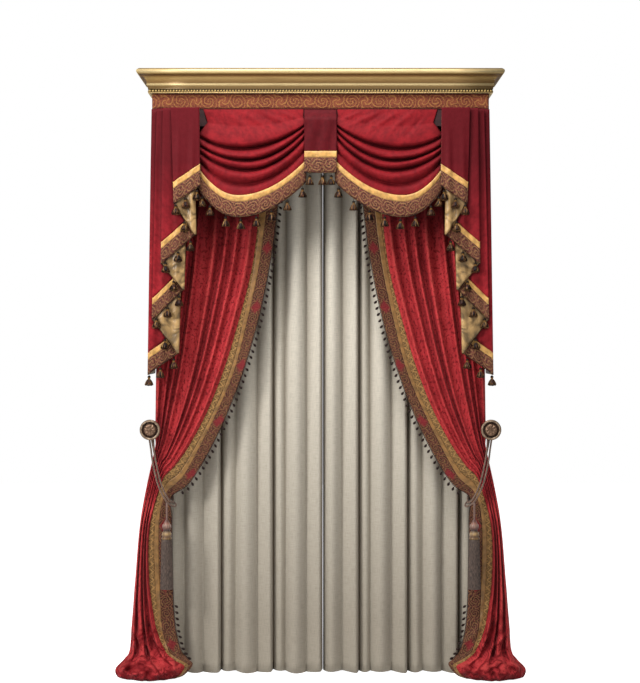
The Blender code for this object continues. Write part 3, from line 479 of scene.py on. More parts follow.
def scroll_lines(node, cloth, repeat, width, turns, arms, fine):
    """Mask of lines that scroll round the middle of each repeat, and the distance from that middle."""
    split = node("SeparateXYZ", cloth).node.outputs
    share = node("Math", split["X"], 1 / repeat, operation="MULTIPLY")
    within = node("Math", share, operation="FRACT")
    x = node("Math", within, repeat, -repeat / 2, operation="MULTIPLY_ADD")
    y = node("Math", split["Y"], width / 2, operation="SUBTRACT")
    radius = node("VectorMath", node("CombineXYZ", x, y), operation="LENGTH")
    angle = node("Math", y, x, operation="ARCTAN2")
    wound = node("Math", radius, turns * 4 * pi / width, operation="MULTIPLY")
    turned = node("Math", angle, float(arms), wound, operation="MULTIPLY_ADD")
    wave = node("Math", turned, operation="SINE")
    return node("MapRange", wave, fine, fine + 0.4), radius


def figured_weave(name, ground, figure, blossom, repeat, width, accent=None, edging=None, fine=0.4):
    """Jacquard trim: raised gilt scrolls and rose blossoms on a dark ground."""
    made, node, shader = new_material(name)
    flat = node("UVMap", uv_map="cloth")
    cloth = wandering(node, flat, 60.0, 0.016)
    scrolls, radius = scroll_lines(node, cloth, repeat, width, 1.6, 3, fine)
    shifted = node("VectorMath", cloth, (repeat / 2, 0.0, 0.0), operation="ADD")
    sprigs, _ = scroll_lines(node, shifted, repeat, width, 2.3, -2, fine)
    beside = node("MapRange", radius, repeat * 0.20, repeat * 0.27)
    lines = node("Mix", beside, scrolls, sprigs)
    petals = node("MapRange", radius, repeat * 0.10, repeat * 0.16, 1.0, 0.0)
    mottled = mottled_ground(node, flat, 150.0, (0.40, ground), (0.56, blossom))
    rose = node("Mix", petals, mottled, blossom, data_type="RGBA")
    woven = node("Math", lines, 0.55, operation="MULTIPLY")
    colour = node("Mix", woven, rose, figure, data_type="RGBA")
    split = node("SeparateXYZ", cloth).node.outputs
    across = node("Math", split["Y"], width * 0.5, operation="SUBTRACT")
    away = node("Math", across, operation="ABSOLUTE")
    if accent is not None:
        start = node("Math", split["X"], ACCENT_START, operation="ADD")
        along = node("Math", start, ACCENT_PITCH / 2, operation="PINGPONG")
        diamond = node("Math", away, 1.4, along, operation="MULTIPLY_ADD")
        inside = node("MapRange", diamond, 0.022, 0.040, 0.75, 0.0)
        colour = node("Mix", inside, colour, accent, data_type="RGBA")
    if edging is not None:
        rim = node("MapRange", away, width / 2 - 0.008, width / 2 - 0.005, 0.0, 0.8)
        colour = node("Mix", rim, colour, edging, data_type="RGBA")
    # Threads of 0.5 mm, drawn at 2 mm so that they show
    threads = node("TexNoise", flat, Scale=500.0, Detail=1.0)
    relief = node("Math", lines, 1.2, threads, operation="MULTIPLY_ADD")
    finish_shader(shader, colour, relief, 0.5, 0.0010, Roughness=0.75, Sheen_Weight=0.06,
                  Sheen_Roughness=0.5, Specular_IOR_Level=0.2)
    return made


def leaf_weave(ground, figure):
    """Jacquard strip: a gilt zigzag stem with a leaf in each bend."""
    made, node, shader = new_material("jacquard_leaf_strip")
    flat = node("UVMap", uv_map="cloth")
    split = node("SeparateXYZ", wandering(node, flat, 90.0, 0.006)).node.outputs
    bends = node("Math", split["X"], LEAF_PITCH / 2, operation="PINGPONG")
    offset = node("Math", bends, 1.3, -0.002, operation="MULTIPLY_ADD")
    across = node("Math", split["Y"], offset, operation="SUBTRACT")
    away = node("Math", across, operation="ABSOLUTE")
    stem = node("MapRange", away, 0.0022, 0.0050, 0.9, 0.1)
    mottled = mottled_ground(node, flat, 170.0, (0.40, ground), (0.68, figure))
    colour = node("Mix", stem, mottled, figure, data_type="RGBA")
    finish_shader(shader, colour, stem, 0.5, 0.0010, Roughness=0.75, Sheen_Weight=0.06,
                  Specular_IOR_Level=0.2)
    return made


def lining_satin(colour):
    """Satin lining: smooth, so it has a broad gloss and shows every crease."""
    made, node, shader = new_material("satin_weave_lining")
    cloth = node("UVMap", uv_map="cloth")
    # The noise's dark patches are painted shade on the creases that the same noise bumps in
    cloudy = node("TexNoise", cloth, Scale=12.0, Detail=2.0, Distortion=1.8)
    tinted = node("ValToRGB", cloudy, stops=((0.34, shaded(colour, 0.32)), (0.60, shaded(colour))))
    # Painted shade under the trims and deep in the folds, from ambient occlusion
    open_sky = node("AmbientOcclusion", Distance=0.05, samples=6, out="AO")
    painted_shade = node("MapRange", open_sky, 0.35, 0.90, 0.85, 0.0)
    tinted = node("Mix", painted_shade, tinted, "#38200f", data_type="RGBA")
    finish_shader(shader, tinted, cloudy, 0.9, 0.008, Roughness=0.38, Sheen_Weight=0.05,
                  Specular_IOR_Level=0.45)
    return made


def cream_weave(colour):
    """Plain linen-and-cotton weave: matt, with slubs along both threads."""
    made, node, shader = new_material("matt_plain_weave_cream")
    cloth = node("UVMap", uv_map="cloth")
    # Threads of 0.6 mm, drawn at 2.5 mm so that they show
    warp, weft = (
        node("TexNoise", node("Mapping", cloth, Scale=scale), Scale=1.0, Detail=2.0)
        for scale in ((400.0, 25.0, 1.0), (25.0, 400.0, 1.0)))
    weave = node("Math", warp, weft, operation="ADD")
    half = node("Math", weave, 0.5, operation="MULTIPLY")
    plain = node("ValToRGB", half, stops=((0.36, shaded(colour, 0.80)), (0.56, shaded(colour))))
    # Painted shade in the front's deep folds, and the cloth darker towards the floor
    split = node("SeparateXYZ", node("TexCoord", out="Object")).node.outputs
    painted_shade = node("MapRange", split["Y"], CREAM_Y - 0.056, CREAM_Y - 0.006, 0.0, 0.95)
    back = node("SeparateXYZ", node("NewGeometry", out="True Normal"), out="Y")
    front = node("MapRange", back, 0.1, -0.1)
    painted_shade = node("Math", painted_shade, front, operation="MULTIPLY")
    low = node("MapRange", split["Z"], -0.8, -2.5, 0.0, 0.58)
    darkening = node("Math", painted_shade, low, operation="MAXIMUM")
    tinted = node("Mix", darkening, plain, "#584a38", data_type="RGBA")
    finish_shader(shader, tinted, half, 0.25, 0.0006, Roughness=0.85, Sheen_Weight=0.05,
                  Specular_IOR_Level=0.2)
    return made


def aged_gilding(colour):
    """Leaf gilding over gesso, toned with an olive-brown glaze that stays in the hollows."""
    made, node, shader = new_material("aged_leaf_gilding")
    place = node("TexCoord", out="Object")
    height = node("SeparateXYZ", place, out="Z")
    share = node("MapRange", height, MOULDING_BOTTOM - MOUNT_HEIGHT,
                 MOULDING_BOTTOM + MOULDING_HEIGHT - MOUNT_HEIGHT)
    glaze, olive, bright, pale = "#684c26", "#3e3018", shaded(colour), "#d4bb86"
    # The tones by height follow the profile: glaze in its hollows, and painted shadow in the dark line under
    # the top lip
    bands = node("ValToRGB", share, stops=(
        (0.00, pale), (0.03, bright), (0.06, olive), (0.15, olive), (0.18, "#6e5630"), (0.29, "#8c6e40"),
        (0.33, pale), (0.385, pale), (0.42, "#8a693a"), (0.52, "#a07c46"), (0.63, bright), (0.70, "#886436"),
        (0.74, glaze), (0.775, bright), (0.82, pale), (0.92, pale), (0.955, bright), (0.985, "#6e5834")))
    drawn = node("Mapping", place, Scale=(4.0, 4.0, 60.0))
    wear = node("TexNoise", drawn, Scale=1.0, Detail=5.0, Roughness=0.65)
    worn = node("MapRange", wear, 0.50, 0.78, 0.0, 0.45)
    toned = node("Mix", worn, bands, glaze, data_type="RGBA")
    # The carved beads are rubbed bright; their first cloth coordinate is BEAD_MARK or more
    marked = node("SeparateXYZ", node("UVMap", uv_map="cloth"), out="X")
    is_bead = node("Math", marked, BEAD_MARK - 0.5, operation="GREATER_THAN")
    tinted = node("Mix", is_bead, toned, "#b79a5e", data_type="RGBA")
    rough = node("MapRange", wear, 0.0, 1.0, 0.40, 0.58)
    finish_shader(shader, tinted, wear, 0.15, 0.001, Metallic=0.3, Roughness=rough)
    return made


def shade_dark_board_paint():
    """Matt paint on pine boards, kept near black maroon as painted shade where they show in the dark gaps
    beside the swags' top corners; brushed, so it shows faint strokes along the grain.
    """
    made, node, shader = new_material("matt_board_paint_painted_shade")
    drawn = node("Mapping", node("TexCoord", out="Object"), Scale=(8.0, 8.0, 140.0))
    strokes = node("TexNoise", drawn, Scale=1.0, Detail=4.0)
    tinted = node("ValToRGB", strokes, stops=((0.3, "#240a0a"), (0.7, "#351112")))
    finish_shader(shader, tinted, strokes, 0.2, 0.0008, Roughness=0.8)
    return made


def antique_bronze():
    """Cast bronze with a brown patina that is rubbed bright on the raised rim."""
    made, node, shader = new_material("antique_bronze")
    cloudy = node("TexNoise", node("TexCoord", out="Object"), Scale=90.0, Detail=5.0)
    radius = node("SeparateXYZ", node("UVMap", uv_map="cloth"), out="Y")
    # The ramp's whole length is a radius of 50 mm
    rings = node("ValToRGB", node("Math", radius, 20.0, operation="MULTIPLY"), stops=(
        (0.0, "#6e5440"), (0.50, "#846650"), (0.58, "#2a160f"), (0.70, "#301a12"), (0.76, "#a8927a"),
        (0.92, "#8c745e"), (1.0, "#644c3a")))
    darkening = node("MapRange", cloudy, 0.42, 0.62, 0.0, 0.55)
    tinted = node("Mix", darkening, rings, "#4a3222", data_type="RGBA")
    finish_shader(shader, tinted, cloudy, 0.3, 0.0008, Roughness=0.42, Metallic=0.55)
    return made


def twisted_cord(name, colour, dark):
    """Twisted viscose cord: fine yarns lie along each strand."""
    made, node, shader = new_material(name)
    drawn = node("Mapping", node("UVMap", uv_map="cloth"), Scale=(900.0, 60.0, 1.0))
    yarns = node("TexNoise", drawn, Scale=1.0, Detail=2.0)
    tinted = node("ValToRGB", yarns, stops=((0.38, dark), (0.58, colour)))
    finish_shader(shader, tinted, yarns, 0.4, 0.0008, Roughness=0.55, Sheen_Weight=0.08)
    return made


def tassel_silk():
    """Cut silk tassels: a dark bound head, a gilt ring and a skirt of mixed rose, cream and dark strands."""
    made, node, shader = new_material("cut_silk_tassel")
    cloth = node("UVMap", uv_map="cloth")
    drawn = node("Mapping", cloth, Scale=(260.0, 14.0, 1.0))
    strands = node("TexNoise", drawn, Scale=1.0, Detail=1.0)
    mixed = node("ValToRGB", strands, stops=(
        (0.36, "#0c0503"), (0.50, "#1e0b08"), (0.55, "#5c3022"), (0.58, "#a07c4c"), (0.61, "#54381a"),
        (0.64, "#120806")))
    down = node("SeparateXYZ", cloth, out="Y")
    skirt = node("MapRange", down, 0.026, 0.030)
    head = node("ValToRGB", node("Math", down, 30.0, operation="MULTIPLY"),
                stops=((0.55, "#140a07"), (0.66, "#6a4a20")))
    tinted = node("Mix", skirt, head, mixed, data_type="RGBA")
    finish_shader(shader, tinted, strands, 0.5, 0.001, Roughness=0.55, Specular_IOR_Level=0.15)
    return made


def jet_bead():
    """Silk-wound bead drops: near black with a small highlight."""
    made, node, shader = new_material("silk_wound_bead")
    wound = node("TexWave", node("UVMap", uv_map="cloth"), Scale=160.0, Distortion=0.4,
                 bands_direction="Y", out="Fac")
    tinted = node("ValToRGB", wound, stops=((0.2, "#120806"), (0.9, "#2a140e")))
    finish_shader(shader, tinted, wound, 0.3, 0.0006, Roughness=0.5, Specular_IOR_Level=0.2)
    return made


def wound_silk():
    """Silk thread wound over a turned wooden mould, with silvery rose and gilt rings."""
    made, node, shader = new_material("wound_silk_mould")
    cloth = node("UVMap", uv_map="cloth")
    down = node("SeparateXYZ", cloth, out="Y")
    rings = node("ValToRGB", node("Math", down, 6.0, operation="MULTIPLY"), stops=(
        (0.0, "#6a4c3c"), (0.50, "#5a3426"), (0.56, "#8a5a48"), (0.62, "#9c7c6c"), (0.70, "#64392c"),
        (0.76, "#2c1610"), (0.84, "#a88858"), (0.92, "#5a3a1c"), (1.0, "#8a6a34")))
    threads = node("TexNoise", node("Mapping", cloth, Scale=(500.0, 60.0, 1.0)), Scale=1.0, Detail=1.0)
    shade = node("MapRange", threads, 0.35, 0.6, 0.5, 0.0)
    tinted = node("Mix", shade, rings, "#3a2018", data_type="RGBA")
    finish_shader(shader, tinted, threads, 0.4, 0.0008, Roughness=0.4, Sheen_Weight=0.3)
    return made


# Shapes

class Shape:
    """Closed parts of one piece: their points, faces and places on the flat cloth."""

    def __init__(self):
        self.points = []
        self.flats = []
        self.faces = []
        self.smooth = []
        self.count = 0

    def _keep(self, points, flats, faces, smooth):
        """Adds one closed part, with its faces turned to point out."""
        volume = 0.0
        for face in faces:
            for k in range(1, len(face[0]) - 1):
                a, b, c = points[face[:, 0]], points[face[:, k]], points[face[:, k + 1]]
                volume += np.einsum("ij,ij->", a, np.cross(b, c))
        for face, is_smooth in zip(faces, smooth):
            turned = face[:, ::-1] if volume < 0 else face
            self.faces += (turned + self.count).tolist()
            self.smooth += [is_smooth] * len(face)
        self.points.append(points)
        self.flats.append(flats)
        self.count += len(points)
        return self

    def sheet(self, front, back, flats=None):
        """Cloth between two grids of points (rows, columns, 3)."""
        flats = flat_places(front) if flats is None else flats
        rows, columns = front.shape[:2]
        start = rows * columns
        index = np.arange(start).reshape(rows, columns)
        a, b = index[:-1, :-1].ravel(), index[:-1, 1:].ravel()
        d, e = index[1:, :-1].ravel(), index[1:, 1:].ravel()
        faces = [np.stack((a, b, e, d), 1), np.stack((a, d, e, b), 1) + start]
        for run in (index[0, ::-1], index[-1], index[:, 0], index[::-1, -1]):
            faces.append(np.stack((run[:-1], run[1:], run[1:] + start, run[:-1] + start), 1))
        points = np.concatenate((front.reshape(-1, 3), back.reshape(-1, 3)))
        return self._keep(points, np.tile(flats.reshape(-1, 2), (2, 1)), faces, [True, True] + [False] * 4)

    def round(self, rings, flats):
        """Round part through rings of points (rings, sides, 3), its ends closed."""
        count, sides = rings.shape[:2]
        index = np.arange(count * sides).reshape(count, sides)
        after = np.roll(index, -1, axis=1)
        body = np.stack((index[:-1].ravel(), after[:-1].ravel(), after[1:].ravel(), index[1:].ravel()), 1)
        faces = [body, index[:1, ::-1], index[-1:]]
        return self._keep(rings.reshape(-1, 3), flats.reshape(-1, 2), faces, [True, False, False])

    def piece(self, name, finish, slot, node, side=1):
        """Makes the object, on its body and in place of its solid; side -1 mirrors it."""
        points = np.concatenate(self.points) * (side, 1, 1)
        faces = [face[::-1] for face in self.faces] if side < 0 else self.faces
        mesh = bpy.data.meshes.new(name)
        mesh.from_pydata(points.tolist(), [], faces)
        mesh.polygons.foreach_set("use_smooth", self.smooth)
        layer = mesh.uv_layers.new(name="cloth")
        corners = np.empty(len(mesh.loops), dtype=np.int32)
        mesh.loops.foreach_get("vertex_index", corners)
        layer.data.foreach_set("uv", np.concatenate(self.flats)[corners].astype(np.float32).ravel())
        mesh.update()
        mesh.materials.append(FINISHES[finish])
        made = bpy.data.objects.new(name, mesh)
        bpy.context.scene.collection.objects.link(made)
        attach(made, "root")
        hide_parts(node)
        return made


def spot(x, y, height):
    """Frame coordinates of points given by their heights above the floor."""
    x, y, height = np.broadcast_arrays(x, y, height)
    return np.stack((x, y, height - MOUNT_HEIGHT), axis=-1)


def flat_places(grid, along_rows=False):
    """Metres of cloth at each point of a grid, across and down; a trim's first runs along it."""
    across = np.zeros(grid.shape[:2])
    down = np.zeros(grid.shape[:2])
    across[:, 1:] = np.cumsum(np.linalg.norm(np.diff(grid, axis=1), axis=2), axis=1)
    down[1:] = np.cumsum(np.linalg.norm(np.diff(grid, axis=0), axis=2), axis=0)
    return np.stack((down, across) if along_rows else (across, down), axis=-1)


def smooth_column(table, column, v):
    """Smooth (Catmull-Rom) value of a table's column at rows v."""
    values = table[:, column]
    v = np.clip(v, 0, len(values) - 1)
    low = np.minimum(v.astype(int), len(values) - 2)
    t = v - low
    a, b = values[np.maximum(low - 1, 0)], values[low]
    c, d = values[low + 1], values[np.minimum(low + 2, len(values) - 1)]
    return 0.5 * (2 * b + (c - a) * t + (2 * a - 5 * b + 4 * c - d) * t ** 2 + (3 * b - a - 3 * c + d) * t ** 3)


def straight_column(table, column, v):
    return np.interp(v, np.arange(len(table)), table[:, column])


def crease_height(x, height, table):
    """How far the creases of a table stand out at points of the cloth."""
    total = np.zeros(np.broadcast(x, height).shape)
    for x0, z0, x1, z1, width, rise in table:
        dx, dz = x1 - x0, z1 - z0
        share = np.clip(((x - x0) * dx + (height - z0) * dz) / (dx * dx + dz * dz), 0.0, 1.0)
        away = (x - x0 - share * dx) ** 2 + (height - z0 - share * dz) ** 2
        total += rise * np.exp(-away / width ** 2) * (0.35 + 0.65 * np.sin(pi * share))
    return total


def route_frames(points):
    """Two directions square to a route at each point, without twist."""
    along = np.gradient(points, axis=0)
    along /= np.linalg.norm(along, axis=1, keepdims=True)
    first = np.cross(along[0], (0.0, 0.3, 1.0) if abs(along[0][2]) < 0.9 else (1.0, 0.2, 0.0))
    sideways = np.empty_like(points)
    for k, way in enumerate(along):
        first = first - way * np.dot(first, way)
        first /= np.linalg.norm(first)
        sideways[k] = first
    return sideways, np.cross(along, sideways)


def even_route(points, spacing):
    """Smooth route through the points, with even steps."""
    points = np.asarray(points, dtype=float)
    fine = np.linspace(0, len(points) - 1, 24 * len(points))
    curve = np.stack([smooth_column(points, k, fine) for k in range(3)], axis=1)
    travelled = np.concatenate(([0.0], np.cumsum(np.linalg.norm(np.diff(curve, axis=0), axis=1))))
    stops = np.linspace(0, travelled[-1], max(int(travelled[-1] / spacing), 2) + 1)
    return np.stack([np.interp(stops, travelled, curve[:, k]) for k in range(3)], axis=1), stops


def add_rope(shape, points, radius, pitch, strands=3, sides=12, steps=7):
    """Twisted rope along a route: the strands are lobes that turn round it."""
    route, stops = even_route(points, pitch / steps)
    first, second = route_frames(route)
    angle = np.arange(sides) * 2 * pi / sides
    turned = angle[None, :] - 2 * pi * stops[:, None] / pitch
    lobes = np.abs(np.cos(strands / 2 * turned))
    reach = radius * (0.72 + 0.28 * lobes)
    rings = (route[:, None, :] + first[:, None, :] * (reach * np.cos(angle))[:, :, None]
             + second[:, None, :] * (reach * np.sin(angle))[:, :, None])
    flats = np.stack(np.broadcast_arrays(radius * angle[None, :], stops[:, None]), axis=-1)
    shape.round(rings, flats)


def add_turned(shape, profile, place, axis, sides, pleats=0, depth=0.0, pleat_from=inf, shift=0.0):
    """Turned part: the profile is (radius, distance along the axis); pleats flute it past pleat_from."""
    profile = np.asarray(profile, dtype=float)
    axis = np.asarray(axis, dtype=float) / np.linalg.norm(axis)
    helper = np.array((0.0, 1.0, 0.0)) if abs(axis[1]) < 0.9 else np.array((1.0, 0.0, 0.0))
    first = np.cross(helper, axis)
    first /= np.linalg.norm(first)
    second = np.cross(axis, first)
    angle = np.arange(sides) * 2 * pi / sides
    fluted = share_past(profile[:, 1], pleat_from, PLEAT_START)[:, None]
    reach = profile[:, :1] * (1 + depth * fluted * np.cos(pleats * angle)[None, :])
    rings = (np.asarray(place) + profile[:, 1][:, None, None] * axis
             + (reach * np.cos(angle))[:, :, None] * first + (reach * np.sin(angle))[:, :, None] * second)
    flats = np.stack(np.broadcast_arrays(angle[None, :] * TURNED_FLAT + shift, profile[:, 1][:, None]), axis=-1)
    shape.round(rings, flats)


# Trim tassels and beads, hung from a route

TRIM_TASSEL = (
    # radius and distance down, as shares of the drop
    (0.020, 0.00), (0.020, 0.18), (0.075, 0.20), (0.125, 0.26), (0.135, 0.33), (0.105, 0.40),
    (0.080, 0.42), (0.115, 0.45), (0.115, 0.49), (0.150, 0.53), (0.230, 0.66), (0.290, 0.82),
    (0.335, 1.00), (0.200, 0.97),
)
BEAD_DROP = 0.024
EDGE_BEAD = (
    (0.035, 0.00), (0.035, 0.24), (0.120, 0.30), (0.215, 0.48), (0.250, 0.68), (0.180, 0.88), (0.050, 1.00),
)


def add_trim_tassel(shape, place, drop, number, lean=(0.0, 0.0, -1.0)):
    profile = [(radius * drop, down * drop) for radius, down in TRIM_TASSEL]
    add_turned(shape, profile, place, lean, 14, pleats=7, depth=0.14, pleat_from=0.5 * drop,
               shift=0.37 * number)


def make_finishes(sizes, colours):
    """All the materials, by the name of the surface they finish."""
    return {
        "velvet": crushed_velvet("crushed_silk_velvet", colours.velvet, colours.velvet_crushed, sizes.fleck),
        "swag": crushed_velvet("silk_velvet_swag", colours.velvet_swag, linear("#4c0b12"), sizes.fleck * 1.8,
                               sheen=0.12, soft=True, tint="#e05858"),
        "cascade": crushed_velvet("silk_velvet_cascade", linear("#9c242b"), linear("#500c12"),
                                  sizes.fleck * 1.5, sheen=0.10, soft=True, heading_shade=colours.velvet_heading_shade,
                                  tint="#c85058"),
        # The tab's pile takes the headings' painted shade colour
        "tab": crushed_velvet("silk_velvet_heading", colours.velvet_heading_shade, linear("#3c090e"),
                              sizes.fleck * 1.8, sheen=0.02, soft=True, tint="#b05060"),
        "gold": satin_band("satin_band_gold", colours.gold),
        "old_gold": satin_band("satin_band_old_gold", colours.old_gold),
        "border": figured_weave("jacquard_border", "#341a14", "#a07a4c", "#6c3a2e",
                                sizes.border_repeat, BORDER),
        "long_border": figured_weave("jacquard_border_long", "#28140c", "#8c6a40", "#5c3026",
                                     sizes.border_repeat, 0.050, accent="#7a1422"),
        "galloon": figured_weave("jacquard_galloon", "#5a281b", "#a8763e", "#7a4028", sizes.galloon_repeat,
                                 GALLOON_HEIGHT, edging="#481212", fine=0.5),
        "leaf": leaf_weave("#3c2818", "#a07a48"),
        "lining": lining_satin(colours.lining),
        "cream": cream_weave(colours.cream),
        "gilding": aged_gilding(colours.gilding),
        "boards": shade_dark_board_paint(),
        "bronze": antique_bronze(),
        "cord": twisted_cord("twisted_viscose_cord", "#7e6454", "#3c2a20"),
        "bullion": twisted_cord("bullion_skirt", "#57453a", "#2a1c15"),
        "tassel": tassel_silk(),
        "bead": jet_bead(),
        "mould": wound_silk(),
    }


FINISHES = {}


# Boards, cornice and galloon

def finish_boards():
    for name in ("top_board", "fascia_board", "return_board_left", "return_board_right"):
        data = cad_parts[name].data
        data.materials.clear()
        data.materials.append(FINISHES["boards"])


def moulding_profile():
    """Section of the moulding from the back edge at the top down its face: projection, height."""
    points = [(0.0, MOULDING_HEIGHT), (0.0560, MOULDING_HEIGHT)]
    for degrees in range(75, -76, -15):
        points.append((0.0535 + 0.0125 * cos(radians(degrees)), 0.0905 + 0.0125 * sin(radians(degrees))))
    for degrees in range(90, 9, -8):
        points.append((0.0500 - 0.0265 * cos(radians(degrees)), 0.0400 + 0.0360 * sin(radians(degrees))))
    points += [(0.0240, 0.0395), (0.0244, 0.0380), (0.0244, 0.0345), (0.0240, 0.0330), (0.0218, 0.0322),
               (0.0215, 0.0310), (0.0200, 0.0250), (0.0188, 0.0205), (0.0195, 0.0175), (0.0165, 0.0150),
               (0.0150, 0.0100), (0.0165, 0.0040), (0.0185, 0.0030), (0.0185, 0.0), (0.0, 0.0)]
    return np.array(points)


CARVED_BEAD = 0.0052            # radius
CARVED_PITCH = 0.0132
HOLLOW = (0.0160, 0.0095)       # where the beads sit: projection, and height above the moulding's foot


def add_carved_beads(shape, start, end, outward):
    """Row of carved beads between two points of the moulding's hollow."""
    start, end = np.asarray(start), np.asarray(end)
    length = np.linalg.norm(end - start)
    count = int(length / CARVED_PITCH)
    along = (end - start) / length
    profile = [(CARVED_BEAD * sin(radians(degrees)), -CARVED_BEAD * cos(radians(degrees)))
               for degrees in (15, 50, 90, 130, 165)]
    for k in range(count):
        middle = start + along * (k + 0.5) * length / count
        add_turned(shape, profile, middle, outward, 8, shift=BEAD_MARK)


def make_cornice():
    """Carved and gilded moulding, mitred at the corners."""
    profile = moulding_profile()
    depth, half = BOX_DEPTH + GAP, BOX_HALF_WIDTH + GAP
    reach, height = profile[:, 0], MOULDING_BOTTOM + profile[:, 1]
    hollow, hollow_height = HOLLOW[0], MOULDING_BOTTOM + HOLLOW[1]
    shares = np.linspace(0, 1, 9)[:, None]
    runs = [("front", spot(-half - reach, -depth - reach, height), spot(half + reach, -depth - reach, height),
             (-half - hollow, -depth - hollow), (half + hollow, -depth - hollow), (0, -1, 0), 1)]
    for side, word in SIDES:
        runs.append(("return_" + word, spot(half + reach, 0 * reach, height),
                     spot(half + reach, -depth - reach + 2 * GAP, height),
                     (half + hollow, -0.004), (half + hollow, -depth - hollow + 0.006), (1, 0, 0), side))
    for word, first, last, bead_start, bead_end, outward, side in runs:
        rings = first[None] + (last - first)[None] * shares[:, :, None]
        flats = np.stack(np.broadcast_arrays(profile[None, :, 1], shares * 1.5), axis=-1)
        shape = Shape().round(rings, flats)
        add_carved_beads(shape, spot(*bead_start, hollow_height), spot(*bead_end, hollow_height), outward)
        shape.piece("gilded_cornice_" + word, "gilding", "gilt_wood", "cornice_" + word, side)


def make_galloon():
    """Figured galloon glued round the pelmet box under the moulding."""
    depth, half = BOX_DEPTH + GAP, BOX_HALF_WIDTH + GAP
    heights = np.linspace(GALLOON_BOTTOM + GALLOON_HEIGHT, GALLOON_BOTTOM, 7)[:, None]
    runs = [("front", np.linspace(-half - TRIM, half + TRIM, 160)[None], None, 1, (0.0, -1.0, 0.0))]
    for side, word in SIDES:
        back_to_front = -np.linspace(0.0, BOX_DEPTH - GAP, 30)[None]
        runs.append(("return_" + word, None, back_to_front, side, (1.0, 0.0, 0.0)))
    for word, xs, ys, side, outward in runs:
        inner = spot(half, ys, heights) if xs is None else spot(xs, -depth, heights)
        outer = inner + np.array(outward) * TRIM
        shape = Shape().sheet(outer, inner, flat_places(inner))
        # Corded edges of the weave, at the top and the bottom
        for row in (0, -1):
            inward = -GALLOON_CORD[0] if row == 0 else GALLOON_CORD[0]
            edge = outer[row] + np.array(outward) * GALLOON_CORD[0] / 2 + (0, 0, inward)
            add_rope(shape, edge[::3], *GALLOON_CORD, strands=2, sides=6, steps=4)
        made = shape.piece("galloon_weave_" + word, "galloon", "woven_galloon", "galloon_" + word, side)


# Swags and tab

SEWN_TRIMS = (
    # name, width, finish, material slot, rows of the grid
    ("gold", GOLD_BAND, "gold", "gold_braid", 5),
    ("border", BORDER, "border", "woven_border", 9),
)


def sew_trims(surface, us, start, bulge, names, side=1):
    """Gold band and border below a cloth's edge; gives the pieces with their widths, and where they end."""
    made = []
    for name, width, finish, slot, rows in SEWN_TRIMS:
        strip = surface(us, np.linspace(start, start + width, rows)[:, None])
        # The trims swell a little between their seams
        strip_face = strip + np.sin(pi * np.linspace(0, 1, rows))[:, None, None] * (0.0, -bulge, 0.0)
        shape = Shape().sheet(strip_face, strip_face + TO_WALL * TRIM, flat_places(strip))
        piece_name, node = (each.format(name) for each in names)
        made.append((shape.piece(piece_name, finish, slot, node, side), width))
        start += width + GAP
    return made, start


def sew_fringe(name, node, hem, us, places, drop, side=1):
    """Corded hem with trim tassels at shares of its length."""
    shape = Shape()
    add_rope(shape, hem[::4], *HEM_CORD, strands=2, sides=8, steps=5)
    for number, share in enumerate(places):
        place = [np.interp(share, us, hem[:, k]) for k in range(3)]
        add_trim_tassel(shape, place, drop, number + 3 * len(places))
    return shape.piece(name, "tassel", "tassel_fringe", node, side)


def swag_surface(u, v):
    """Swag's face: u from the tab (0) to the cascade (1), v down the rows, past the last row metres of trim."""
    u, v = np.broadcast_arrays(u, v)
    row = np.minimum(v, SWAG_HEM)
    inner, low, lowest, outer = (straight_column(SWAG_ROWS, k, row)
                                 for k in (SWAG_INNER, SWAG_LOW, SWAG_PLACE, SWAG_OUTER))
    near = low + (inner - low) * (1 - u / lowest) ** 2
    far = low + (outer - low) * ((u - lowest) / (1 - lowest)) ** 2
    drop = np.where(u < lowest, near, far) + np.maximum(v - SWAG_HEM, 0.0)
    x = mix(straight_column(SWAG_ROWS, SWAG_X_IN, row), straight_column(SWAG_ROWS, SWAG_X_OUT, row), u)
    before = np.minimum(row.astype(int), SWAG_HEM - 1)
    share = row - before
    start, end = SWAG_ROWS[before, SWAG_FORWARD], SWAG_ROWS[before + 1, SWAG_FORWARD]
    # Crests are round and the valleys between them narrow and deep
    eased = np.where(end > start, 1 - (1 - share) ** SWAG_ROUND, share ** SWAG_ROUND)
    valley = rounded_wave(np.maximum(row - SWAG_PLAIN_ROWS, 0.0)) ** 3
    forward = np.maximum(mix(start, end, eased) - SWAG_VALLEY * valley, 0.0)
    belly = mix(SWAG_END_DEPTH, 1.0, np.maximum(np.sin(pi * u), 0.0) ** 0.6)
    base = share_past(row, 0.6, 1.0) * SWAG_STAND
    height = HEADING - drop
    pinned = share_past(drop, 0.0, 0.02) * np.clip((SWAG_HEM - row) * 2, 0.0, 1.0)
    creased = np.maximum(crease_height(x, height, SWAG_CREASES) * pinned, -0.3 * forward)
    return spot(x, -BOX_DEPTH - GAP - CLOTH - base - forward * belly - creased, height)


def make_swags(sizes):
    us = np.linspace(0, 1, SWAG_GRID[0])[None]
    front = swag_surface(us, np.linspace(0, SWAG_HEM, SWAG_GRID[1])[:, None])
    for side, word in SIDES:
        cloth = Shape().sheet(front, front + TO_WALL * CLOTH).piece(
            "velvet_swag_" + word, "swag", "red_velvet", "swag_" + word, side)
        trims, end = sew_trims(swag_surface, us, SWAG_HEM + GAP, 0.0025,
                               ("swag_{}_weave_" + word, "swag_{}_" + word), side)
        for made, width in trims:
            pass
        hem = swag_surface(us[0], end + GAP + 0.0015)
        fringe = sew_fringe("swag_tassels_" + word, "swag_fringe_" + word, hem, us[0], SWAG_TASSELS,
                            sizes.tassel_drop, side)


